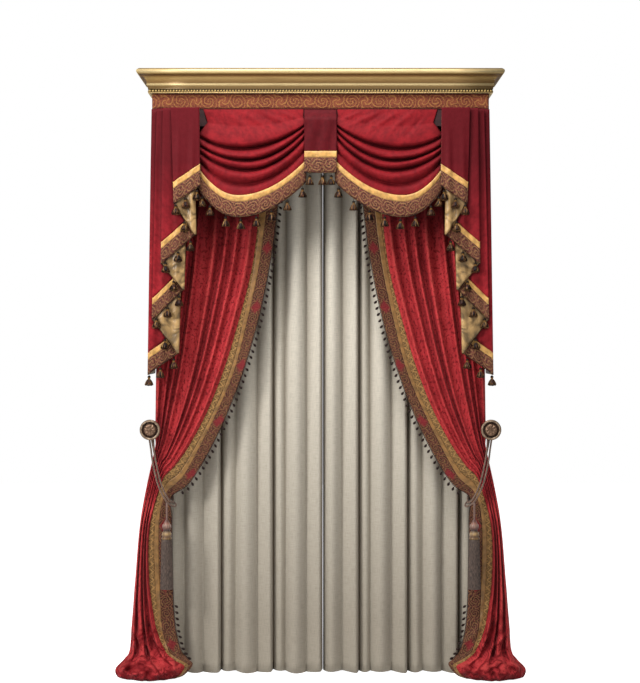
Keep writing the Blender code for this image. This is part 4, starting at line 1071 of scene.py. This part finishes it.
def tab_surface(u, v):
    """Tab's face: u across from left to right, v metres down."""
    u, v = np.broadcast_arrays(u, v)
    forward = TAB_FORWARD * rounded_wave(np.minimum(v / TAB_HANG, 1.0))
    # Soft creases fade in below the heading
    soft = TAB_CREASE * np.cos(2 * pi * (2.3 * u + 0.6 * v / TAB_DROP + 0.1)) * share_past(v, 0.0, 0.10)
    return spot(mix(-TAB_HALF_WIDTH, TAB_HALF_WIDTH, u), -BOX_DEPTH - GAP - CLOTH - forward - soft, HEADING - v)


def make_tab(sizes):
    us = np.linspace(0, 1, 33)[None]
    front = tab_surface(us, np.linspace(0, TAB_DROP, 41)[:, None])
    cloth = Shape().sheet(front, front + TO_WALL * CLOTH).piece("velvet_tab", "tab", "red_velvet", "tab")
    trims, end = sew_trims(tab_surface, us, TAB_DROP + GAP, 0.002, ("tab_{}_weave", "tab_{}"))
    for made, width in trims:
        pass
    hem = tab_surface(us[0], end + 0.002)
    fringe = sew_fringe("tab_tassels", "tab_fringe", hem, us[0], TAB_TASSELS, sizes.tassel_drop)


# Cascades

def cascade_plan():
    """Places along the folded cloth: fold position, step outward, distance from the wall, normal x and y."""
    plan = []
    radius = LAYER / 2
    for layer in range(CORNER):
        distance = FRONT_LAYER - layer * LAYER
        looks = -1.0 if layer % 2 == 0 else 1.0
        for share in np.linspace(0, 1, 17):
            if layer == CORNER - 1 and share > 0.97:
                break
            plan.append((layer + share, 0.0, distance, 0.0, looks))
        if layer < CORNER - 1:
            for angle in np.linspace(0, pi, 8)[1:-1]:
                plan.append((layer + 1.0, -looks * radius * sin(angle), distance - radius + radius * cos(angle),
                             sin(angle), looks * cos(angle)))
    last = FRONT_LAYER - (CORNER - 1) * LAYER
    for angle in np.linspace(0, pi / 2, 6):
        plan.append((float(CORNER), -CORNER_BEND + CORNER_BEND * sin(angle),
                     last - CORNER_BEND + CORNER_BEND * cos(angle), sin(angle), -cos(angle)))
    for distance in np.linspace(last - CORNER_BEND, WALL_END, 14)[1:]:
        plan.append((float(CORNER), 0.0, distance, 1.0, 0.0))
    return np.array(plan)


def cascade_grid(plan, shares, inset, swell):
    """Points of the cascade; shares (rows, places) go from the heading (0) to the hem (1)."""
    fold, outward, distance, normal_x, normal_y = plan.T[:, None, :]
    top_x, hem_x, hem = (straight_column(CASCADE_FOLDS, k, fold)
                         for k in (CASCADE_TOP_X, CASCADE_HEM_X, CASCADE_HEM))
    x = mix(top_x, hem_x, shares) + outward - normal_x * inset
    height = mix(HEADING, hem, shares)
    y = -distance - normal_y * inset
    # Soft vertical folds carry all the layers with them, and die out towards the wall
    below = share_past(HEADING - height, 0.0, CASCADE_FALL)
    broad, narrow = CASCADE_WAVES
    wave = np.sin(x * 2 * pi / broad + 1.1 + 1.5 * height) + 0.55 * np.sin(x * 2 * pi / narrow + 2.4 * height)
    inward = share_past(distance, 0.0, FRONT_LAYER) ** 3
    y = y - swell * (0.5 + 0.32 * wave) * rounded_wave(below) * inward
    return spot(x, y, height)


def make_cascades(sizes):
    plan = cascade_plan()
    hem_drop = HEADING - straight_column(CASCADE_FOLDS, CASCADE_HEM, plan[:, 0])
    trims = BORDER + GOLD_BAND + 3 * GAP + HEADER

    def band(top, bottom, rows, inset=0.0):
        """Grid between two distances above the hem."""
        above = np.linspace(top, bottom, rows)[:, None]
        return cascade_grid(plan, 1.0 - above / hem_drop[None], inset, sizes.cascade_swell)

    def fall(rows, end, inset=0.0):
        """Grid from the heading to a distance above the hem."""
        shares = np.linspace(0, 1, rows)[:, None] * (1.0 - end / hem_drop[None])
        return cascade_grid(plan, shares, inset, sizes.cascade_swell)

    for side, word in SIDES:
        cloth = Shape().sheet(fall(57, trims), fall(57, trims, CLOTH)).piece(
            "velvet_cascade_" + word, "cascade", "red_velvet", "cascade_" + word, side)
        low = HEADER + GAP
        inset = TRIM + GAP
        lining = Shape().sheet(fall(49, low, inset), fall(49, low, inset + LINING)).piece(
            "satin_lining_" + word, "lining", "gold_lining", "cascade_lining_" + word, side)
        for name, width, finish, slot, rows in (("border", BORDER, "border", "woven_border", 8),
                                                ("gold", GOLD_BAND, "gold", "gold_braid", 5)):
            shape = Shape().sheet(band(low + width, low, rows), band(low + width, low, rows, TRIM))
            made = shape.piece(f"cascade_{name}_weave_{word}", finish, slot, f"cascade_{name}_{word}", side)
            low += width + GAP
        shape = Shape()
        hem = band(HEADER / 2, HEADER / 2, 2, TRIM / 2)[0]
        add_rope(shape, hem[::2], *CASCADE_CORD, strands=2, sides=8, steps=4)
        for number, (layer, share) in enumerate(CASCADE_TASSELS):
            nearest = np.argmin(np.abs(plan[:, 0] - layer - share))
            add_trim_tassel(shape, hem[nearest] + (0, 0, -0.001), sizes.tassel_drop, number,
                            (0.0, -CASCADE_LEAN, -1.0))
        fringe = shape.piece(
            "cascade_tassels_" + word, "tassel", "tassel_fringe", "cascade_fringe_" + word, side)


# Long curtains

def curtain_surface(u, v):
    """Long curtain's face: u from the outer edge (0) to the beaded inner edge (1), v down the rows."""
    u, v = np.broadcast_arrays(np.asarray(u, dtype=float), np.asarray(v, dtype=float))
    out_x, out_z, in_x, in_z, fold, bulge, spill, _, red_end = (
        smooth_column(CURTAIN_ROWS, k, v) for k in range(9))
    position = np.clip(FOLDS * u / red_end, 0.0, FOLDS)
    # The folds differ in width and depth and wander a little on their way down
    between_edges = np.sin(pi * position / FOLDS)
    wander = FOLD_WANDER * np.sin(1.9 * position + 0.25 * v + 0.6) * between_edges
    crest = rounded_wave(2 * (position + wander))
    depth = 0.92 + 0.26 * np.sin(2.6 * position + 1.0) * between_edges
    # Below the tie the folds run together in pairs
    paired = rounded_wave(position + 1.6 * wander) ** 1.4 * PAIRED_DEPTH
    wave = mix(crest ** 1.5 * depth, paired, 0.85 * share_past(v, PAIRED_ROW, 1.6))
    trim_share = share_past(u, red_end, 1.0 - red_end)
    wave = np.where(u < red_end, wave, TRIM_RISE * trim_share * (1 + 0.5 * np.sin(4.2 * v)))
    middle = np.sin(pi * np.clip(u, 0.0, 1.0))
    x = mix(out_x, in_x, u)
    height = mix(out_z, in_z, u)
    forward = wave * fold + bulge * middle + spill * mix(EDGE_SPILL, 1.0, middle)
    # Creases above the floor, creases of the puddle and crumples, each fading out at its ends
    off_floor = share_past(height, 0.0, 0.012)
    falls = share_past(height, CREASED_BELOW, -0.15) * share_past(height, CREASED_ABOVE, 0.06)
    puddle = share_past(height, PUDDLED_BELOW, -0.03) * off_floor
    forward = forward + crease_height(x, height, CURTAIN_CREASES) * falls
    forward = forward + crease_height(x, height, PUDDLE_CREASES) * puddle
    crumpled = share_past(height, CRUMPLED_BELOW, -0.18) * off_floor
    for across, down, start, rise in CRUMPLES:
        forward = forward + rise * crumpled * (1 - 2 * np.abs(np.sin(across * x + down * height + start)))
    return spot(x, CURTAIN_Y - forward, height)


def strip_grid(start_column, end_column, across, down):
    """Grid of the curtain between two columns of shares, with a lap behind the next strip."""
    start = 0.0 if start_column is None else smooth_column(CURTAIN_ROWS, start_column, down)
    end = 1.0 if end_column is None else smooth_column(CURTAIN_ROWS, end_column, down)
    width = smooth_column(CURTAIN_ROWS, OUT_X, down) - smooth_column(CURTAIN_ROWS, IN_X, down)
    edge = SEAM / 2 / width
    grid = curtain_surface(mix(start + edge, end - edge, across), down)
    if end_column is None:
        return grid
    lap = curtain_surface(end + np.array((edge, UNDERLAP / width))[:, :, 0].T, down)
    return np.concatenate((grid, lap + TO_WALL * (TRIM + 2 * GAP)), axis=1)


def curtain_rows(count):
    """Rows spaced evenly down the cloth's middle, and closer on the floor."""
    fine = np.linspace(0, LAST_ROW, 2000)
    steps = np.linalg.norm(np.diff(curtain_surface(0.5, fine), axis=0), axis=1)
    steps *= np.where(fine[1:] > FLOOR_ROW, 2.2, 1.0)
    travelled = np.concatenate(([0.0], np.cumsum(steps)))
    return np.interp(np.linspace(0, travelled[-1], count), travelled, fine)


def make_long_curtains():
    down = curtain_rows(CURTAIN_GRID_ROWS)[:, None]
    lift = smooth_column(CURTAIN_ROWS, LIFT, down)[:, :, None]
    way = np.concatenate((0 * lift, np.ones_like(lift), lift), axis=2)
    way /= np.linalg.norm(way, axis=2, keepdims=True)
    strips = (
        # piece, node, first and last column, finish, slot, thickness, grid columns, flat width
        ("velvet_curtain_", "curtain_", None, RED_END, "velvet", "red_velvet", CLOTH, 113, 0.75),
        ("leaf_weave_", "leaf_strip_", RED_END, LEAF_END, "leaf", "leaf_strip", TRIM, 6, 0.025),
        ("gold_satin_", "curtain_gold_", LEAF_END, GOLD_END, "old_gold", "gold_braid", TRIM, 6, 0.026),
        ("border_weave_", "curtain_border_", GOLD_END, None, "long_border", "woven_border", TRIM, 10, 0.050),
    )
    for side, word in SIDES:
        for name, node, start, end, finish, slot, thickness, columns, width in strips:
            is_trim = start is not None
            front = strip_grid(start, end, np.linspace(0, 1, columns)[None], down)
            shape = Shape().sheet(front, front + way * thickness, flat_places(front, along_rows=is_trim))
            made = shape.piece(name + word, finish, slot, node + word, side)


def make_bead_fringes(sizes):
    """Corded edge with a silk-wound bead on a short thread at each step."""
    fine = np.linspace(BEAD_FIRST_ROW, BEAD_LAST_ROW, 3000)
    edge = curtain_surface(1.0, fine) + np.array((-0.0016, TRIM / 2, 0.0))
    travelled = np.concatenate(([0.0], np.cumsum(np.linalg.norm(np.diff(edge, axis=0), axis=1))))
    profile = [(radius * BEAD_DROP, length * BEAD_DROP) for radius, length in EDGE_BEAD]
    for side, word in SIDES:
        shape = Shape()
        add_rope(shape, edge[::20], *EDGE_CORD, strands=2, sides=6, steps=3)
        for distance in np.arange(0.01, travelled[-1], sizes.bead_pitch):
            k = int(np.searchsorted(travelled, distance))
            if BEAD_PAUSE[0] < fine[k] < BEAD_PAUSE[1]:
                continue
            along = edge[min(k + 5, len(edge) - 1)] - edge[max(k - 5, 0)]
            along /= np.linalg.norm(along)
            outward = np.cross((0, -1, 0), along)
            outward = outward * (-1 if outward[0] > 0 else 1)
            add_turned(shape, profile, edge[k], outward * 0.8 + np.array((0, 0, -0.6)), 8)
        shape.piece("bead_drops_" + word, "bead", "tassel_fringe", "bead_fringe_" + word, side)


# Cream inner curtains

def cream_surface(valleys, sharp, u, v):
    """Inner curtain's face: u counts the folds from the left, v from the heading (0) to the hem (1)."""
    u, v = np.broadcast_arrays(u, v)
    valleys = np.array(valleys)
    low = np.minimum(u.astype(int), len(valleys) - 2)
    share = u - low
    is_sharp = np.isin(low, sharp)
    after_sharp = np.isin(low - 1, sharp)
    rounded = np.sin(pi * share) ** 0.85
    broad = np.sin(pi * np.clip(share / 1.7, 0, 0.5)) ** 0.8 * (1 - share_past(share, 0.80, 0.20) ** 2.5)
    shape = np.where(is_sharp, broad, rounded)
    # An ordinary valley isn't as deep as a sharp one
    floor_left = np.where(after_sharp | (low == 0), 0.0, SHALLOW_VALLEY)
    floor_right = np.where(is_sharp | (low == len(valleys) - 2), 0.0, SHALLOW_VALLEY)
    floor = mix(floor_left, floor_right, share)
    shape = floor + (1 - floor) * shape
    width = valleys[low + 1] - valleys[low]
    depth = CREAM_DEPTH * np.minimum(width / 0.09, 1.0) * mix(0.75, 1.0, v)
    sway = 0.004 * np.sin(5.0 * v + 1.7 * low) * np.sin(pi * share) * v
    hem = CREAM_HEM + 0.004 * np.sin(2.2 * u) * v
    return spot(mix(valleys[low], valleys[low + 1], share) + sway, CREAM_Y - depth * shape,
                mix(CURTAIN_TOP, hem, v))


def make_cream_curtains():
    for valleys, sharp, word in zip(CREAM_VALLEYS, CREAM_SHARP, ("left", "right")):
        count = len(valleys) - 1
        us = np.linspace(0, count, 16 * count + 1)[None]
        front = cream_surface(valleys, sharp, us, np.linspace(0, 1, 61)[:, None])
        made = Shape().sheet(front, front + TO_WALL * CLOTH).piece(
            "cream_weave_" + word, "cream", "cream_cloth", "cream_curtain_" + word)


# Holdbacks, tie cords and tie tassels

HOLDBACK_FACE = (
    # radius, and distance in front of HOLD_FACE, from the middle of the rosette to its back
    (0.0005, 0.0065), (0.006, 0.006), (0.010, 0.0035), (0.012, 0.0050), (0.018, 0.0050), (0.024, 0.0025),
    (0.027, -0.001), (0.029, -0.006), (0.034, -0.0065), (0.0355, -0.002), (0.038, 0.0015), (0.042, 0.0015),
    (0.0455, -0.002), (0.0465, -0.006), (0.0445, -0.013), (0.034, -0.018), (0.020, -0.022), (0.010, -0.025),
    (0.008, -0.029),
)
HOLDBACK_STEM = (
    # radius, and distance from the wall, down to the wall plate
    (0.0078, 0.150), (0.0078, 0.014), (0.012, 0.010), (0.022, 0.007), (0.0255, 0.004), (0.026, 0.0),
    (0.0005, 0.0),
)
HOLDBACK_SIDES = 64
LEAF_RELIEF = (0.018, 0.009, 0.0022, 8)     # radius, reach beside it, height, and number round the boss
RIM_RELIEF = (0.042, 0.004, 0.0008, 32)


def make_holdbacks():
    """Cast rosette on a turned stem, with a leaf relief round its boss."""
    profile = np.array([(radius, HOLD_FACE + ahead) for radius, ahead in HOLDBACK_FACE] + list(HOLDBACK_STEM))
    angle = np.arange(HOLDBACK_SIDES) * 2 * pi / HOLDBACK_SIDES
    radius, distance = profile[:, :1], profile[:, 1:]
    out = distance
    for middle, reach, height, number in (LEAF_RELIEF, RIM_RELIEF):
        raised = np.clip(1 - np.abs(radius - middle) / reach, 0, 1) * (distance > HOLD_FACE - 0.01)
        out = out + height * raised * np.cos(number * angle)
    # The stem takes the tone of the rosette's back
    face = np.where(distance > HOLD_FACE - 0.012, radius, 0.020)
    flats = np.stack(np.broadcast_arrays(angle[None] * TURNED_FLAT, face), axis=-1)
    rings = spot(HOLD_X + radius * np.cos(angle), -out, HOLD_HEIGHT + radius * np.sin(angle))
    for side, word in SIDES:
        Shape().round(rings, flats).piece("cast_holdback_" + word, "bronze", "bronze", "holdback_" + word, side)


def make_tie_cords(sizes):
    for side, word in SIDES:
        for strand, route in TIE_STRANDS:
            shape = Shape()
            points = [spot(x, -y, height) for x, y, height in route]
            add_rope(shape, points, CORD_RADIUS * 1.08, sizes.rope_pitch, strands=3, sides=12, steps=8)
            shape.piece(
                f"twisted_cord_{strand}_{word}", "cord", "taupe_cord", f"tie_cord_{strand}_{word}", side)


TASSEL_HEAD = (
    # hanging cord, wound mould and gilt collar: radius, distance down
    (0.0008, 0.0), (0.0045, 0.001), (0.0045, 0.078), (0.0085, 0.081), (0.0085, 0.084), (0.0120, 0.089),
    (0.0130, 0.094), (0.0175, 0.100), (0.0198, 0.108), (0.0195, 0.114), (0.0160, 0.121), (0.0140, 0.127),
    (0.0150, 0.131), (0.0190, 0.136), (0.0218, 0.143), (0.0212, 0.150), (0.0195, 0.154), (0.0210, 0.158),
    (0.0232, 0.161), (0.0232, 0.1655), (0.0008, 0.1657),
)
SKIRT_NECK = ((0.0005, 0.0002), (0.0205, 0.0003), (0.0225, 0.003), (0.0235, 0.010), (0.0240, 0.030))


def make_tie_tassels():
    """Tie tassel: a hanging cord, a silk-wound mould, a gilt collar and a bullion skirt."""
    length = SKIRT_TOP - SKIRT_BOTTOM
    top_radius, neck = SKIRT_NECK[-1]
    flare = [(top_radius + 0.0040 * share ** 1.5, neck + (length - 0.034) * share)
             for share in np.linspace(0.1, 1, 14)]
    skirt = [*SKIRT_NECK, *flare, (0.0270, length - 0.001), (0.0200, length)]
    for side, word in SIDES:
        for name, profile, height, sides, pleats, depth, pleat_from, finish, slot, node in (
                ("wound_tassel_head_", TASSEL_HEAD, TASSEL_TOP, 28, 14, 0.05, 0.088,
                 "mould", "tassel_head", "tie_tassel_head_"),
                ("bullion_skirt_", skirt, SKIRT_TOP, 96, 24, 0.055, 0.004,
                 "bullion", "taupe_cord", "tie_tassel_skirt_")):
            shape = Shape()
            add_turned(shape, profile, spot(TASSEL_X, -TASSEL_Y, height), (0, 0, -1), sides, pleats=pleats,
                       depth=depth, pleat_from=pleat_from)
            shape.piece(name + word, finish, slot, node + word, side)


# Stage

CAMERA_DISTANCE = 7.0
CAMERA_HEIGHT = 1.536
CAMERA_X = -0.0023
LENS = 78.53
LIGHTS = (
    # name, place, tilt and turn in degrees, side of the square light, watts
    ("key_light", (-3.8, -3.6, 0.6), (70, -47), 1.2, 170.0),
    ("fill_light", (3.2, -5.2, -0.8), (86, 32), 2.5, 24.0),
    ("top_light", (-0.4, -2.2, 2.6), (31, 0), 1.6, 185.0),
)
FLOOR_REACH = 9.0


def make_stage():
    """Camera at the photograph's place, soft studio lights, and a plain pale floor."""
    scene = bpy.context.scene
    scene.view_settings.view_transform = "Standard"
    data = bpy.data.cameras.new("camera")
    data.sensor_fit = "VERTICAL"
    data.sensor_height = 36.0
    data.lens = LENS
    camera = bpy.data.objects.new("camera", data)
    camera.location = (CAMERA_X, -CAMERA_DISTANCE, CAMERA_HEIGHT - MOUNT_HEIGHT)
    camera.rotation_euler = (radians(90), 0.0, 0.0)
    scene.collection.objects.link(camera)
    scene.camera = camera
    for name, place, turn, size, power in LIGHTS:
        lamp = bpy.data.lights.new(name, "AREA")
        lamp.size = size
        lamp.energy = power
        made = bpy.data.objects.new(name, lamp)
        made.location = place
        made.rotation_euler = (radians(turn[0]), 0.0, radians(turn[1]))
        scene.collection.objects.link(made)
    world = bpy.data.worlds.new("studio")
    world.use_nodes = True
    tree = world.node_tree
    tree.nodes.clear()
    seen = add(tree, "Background", Color="#ffffff", Strength=1.0)
    lit = add(tree, "Background", Color="#f4f6fa", Strength=0.24)
    add(tree, "OutputWorld", add(tree, "MixShader", add(tree, "LightPath", out="Is Camera Ray"), lit, seen))
    scene.world = world
    floor_mesh = bpy.data.meshes.new("floor")
    corners = [(x * FLOOR_REACH, y * FLOOR_REACH, 0) for x, y in ((-1, -1), (1, -1), (1, 1), (-1, 1))]
    floor_mesh.from_pydata(corners, [], [(0, 1, 2, 3)])
    floor = bpy.data.objects.new("floor", floor_mesh)
    floor.location.z = -MOUNT_HEIGHT
    made, node, shader = new_material("matt_white_paper")
    # Seen by the camera the floor is as white as the background, as in the photograph
    for name, value in (("Base Color", "#fbfbfa"), ("Roughness", 0.9), ("Emission Color", "#ffffff"),
                        ("Emission Strength", node("LightPath", out="Is Camera Ray"))):
        feed(shader.inputs[name], value)
    floor_mesh.materials.append(made)
    scene.collection.objects.link(floor)


# Operators, panel and registration

def ready(context):
    """Makes the materials once and returns the sizes."""
    if not FINISHES:
        FINISHES.update(make_finishes(context.scene.curtain_sizes, context.scene.curtain_colours))
    return context.scene.curtain_sizes


class CURTAINS_OT_stage(bpy.types.Operator):
    """Sets the camera, the studio lights and the floor"""
    bl_idname = "curtains.stage"
    bl_label = "Stage"

    def execute(self, context):
        make_stage()
        return {"FINISHED"}


class CURTAINS_OT_boards(bpy.types.Operator):
    """Paints the boards of the pelmet box"""
    bl_idname = "curtains.boards"
    bl_label = "Pelmet boards"

    def execute(self, context):
        ready(context)
        finish_boards()
        return {"FINISHED"}


class CURTAINS_OT_cornice(bpy.types.Operator):
    """Makes the gilded moulding with its carved beads"""
    bl_idname = "curtains.cornice"
    bl_label = "Cornice"

    def execute(self, context):
        ready(context)
        make_cornice()
        return {"FINISHED"}


class CURTAINS_OT_galloon(bpy.types.Operator):
    """Makes the figured galloon round the pelmet box"""
    bl_idname = "curtains.galloon"
    bl_label = "Galloon"

    def execute(self, context):
        ready(context)
        make_galloon()
        return {"FINISHED"}


class CURTAINS_OT_swags(bpy.types.Operator):
    """Makes both swags with their bands, borders and tassels"""
    bl_idname = "curtains.swags"
    bl_label = "Swags"

    def execute(self, context):
        make_swags(ready(context))
        return {"FINISHED"}


class CURTAINS_OT_tab(bpy.types.Operator):
    """Makes the centre tab with its trims"""
    bl_idname = "curtains.tab"
    bl_label = "Centre tab"

    def execute(self, context):
        make_tab(ready(context))
        return {"FINISHED"}


class CURTAINS_OT_cascades(bpy.types.Operator):
    """Makes both lined side cascades with their trims"""
    bl_idname = "curtains.cascades"
    bl_label = "Cascades"

    def execute(self, context):
        make_cascades(ready(context))
        return {"FINISHED"}


class CURTAINS_OT_long_curtains(bpy.types.Operator):
    """Makes both tied-back velvet curtains with their strips and borders"""
    bl_idname = "curtains.long_curtains"
    bl_label = "Long curtains"

    def execute(self, context):
        ready(context)
        make_long_curtains()
        return {"FINISHED"}


class CURTAINS_OT_bead_fringes(bpy.types.Operator):
    """Makes the bead fringes of the long curtains"""
    bl_idname = "curtains.bead_fringes"
    bl_label = "Bead fringes"

    def execute(self, context):
        make_bead_fringes(ready(context))
        return {"FINISHED"}


class CURTAINS_OT_cream_curtains(bpy.types.Operator):
    """Makes the two cream inner curtains"""
    bl_idname = "curtains.cream_curtains"
    bl_label = "Cream curtains"

    def execute(self, context):
        ready(context)
        make_cream_curtains()
        return {"FINISHED"}


class CURTAINS_OT_holdbacks(bpy.types.Operator):
    """Makes the two rosette holdbacks"""
    bl_idname = "curtains.holdbacks"
    bl_label = "Holdbacks"

    def execute(self, context):
        ready(context)
        make_holdbacks()
        return {"FINISHED"}


class CURTAINS_OT_tie_cords(bpy.types.Operator):
    """Makes the twisted tie cords"""
    bl_idname = "curtains.tie_cords"
    bl_label = "Tie cords"

    def execute(self, context):
        make_tie_cords(ready(context))
        return {"FINISHED"}


class CURTAINS_OT_tie_tassels(bpy.types.Operator):
    """Makes the two tie tassels"""
    bl_idname = "curtains.tie_tassels"
    bl_label = "Tie tassels"

    def execute(self, context):
        ready(context)
        make_tie_tassels()
        return {"FINISHED"}


OPERATORS = (
    CURTAINS_OT_stage, CURTAINS_OT_boards, CURTAINS_OT_cornice, CURTAINS_OT_galloon, CURTAINS_OT_swags,
    CURTAINS_OT_tab, CURTAINS_OT_cascades, CURTAINS_OT_long_curtains, CURTAINS_OT_bead_fringes,
    CURTAINS_OT_cream_curtains, CURTAINS_OT_holdbacks, CURTAINS_OT_tie_cords, CURTAINS_OT_tie_tassels,
)


class CURTAINS_PT_pieces(bpy.types.Panel):
    """Lists the pieces with their sizes and colours"""
    bl_idname = "CURTAINS_PT_pieces"
    bl_label = "Swagged curtains"
    bl_space_type = "VIEW_3D"
    bl_region_type = "UI"
    bl_category = "Curtains"

    def draw(self, context):
        for group in (context.scene.curtain_sizes, context.scene.curtain_colours):
            for name in group.__annotations__:
                self.layout.prop(group, name)
        for operator in OPERATORS:
            self.layout.operator(operator.bl_idname)


CLASSES = (CurtainSizes, CurtainColours, *OPERATORS, CURTAINS_PT_pieces)


def register():
    for each in CLASSES:
        bpy.utils.register_class(each)
    bpy.types.Scene.curtain_sizes = bpy.props.PointerProperty(type=CurtainSizes)
    bpy.types.Scene.curtain_colours = bpy.props.PointerProperty(type=CurtainColours)


def unregister():
    del bpy.types.Scene.curtain_colours
    del bpy.types.Scene.curtain_sizes
    for each in reversed(CLASSES):
        bpy.utils.unregister_class(each)


def main():
    register()
    for operator in OPERATORS:
        getattr(bpy.ops.curtains, operator.bl_idname.split(".")[1])()


if __name__ == "__main__":
    main()
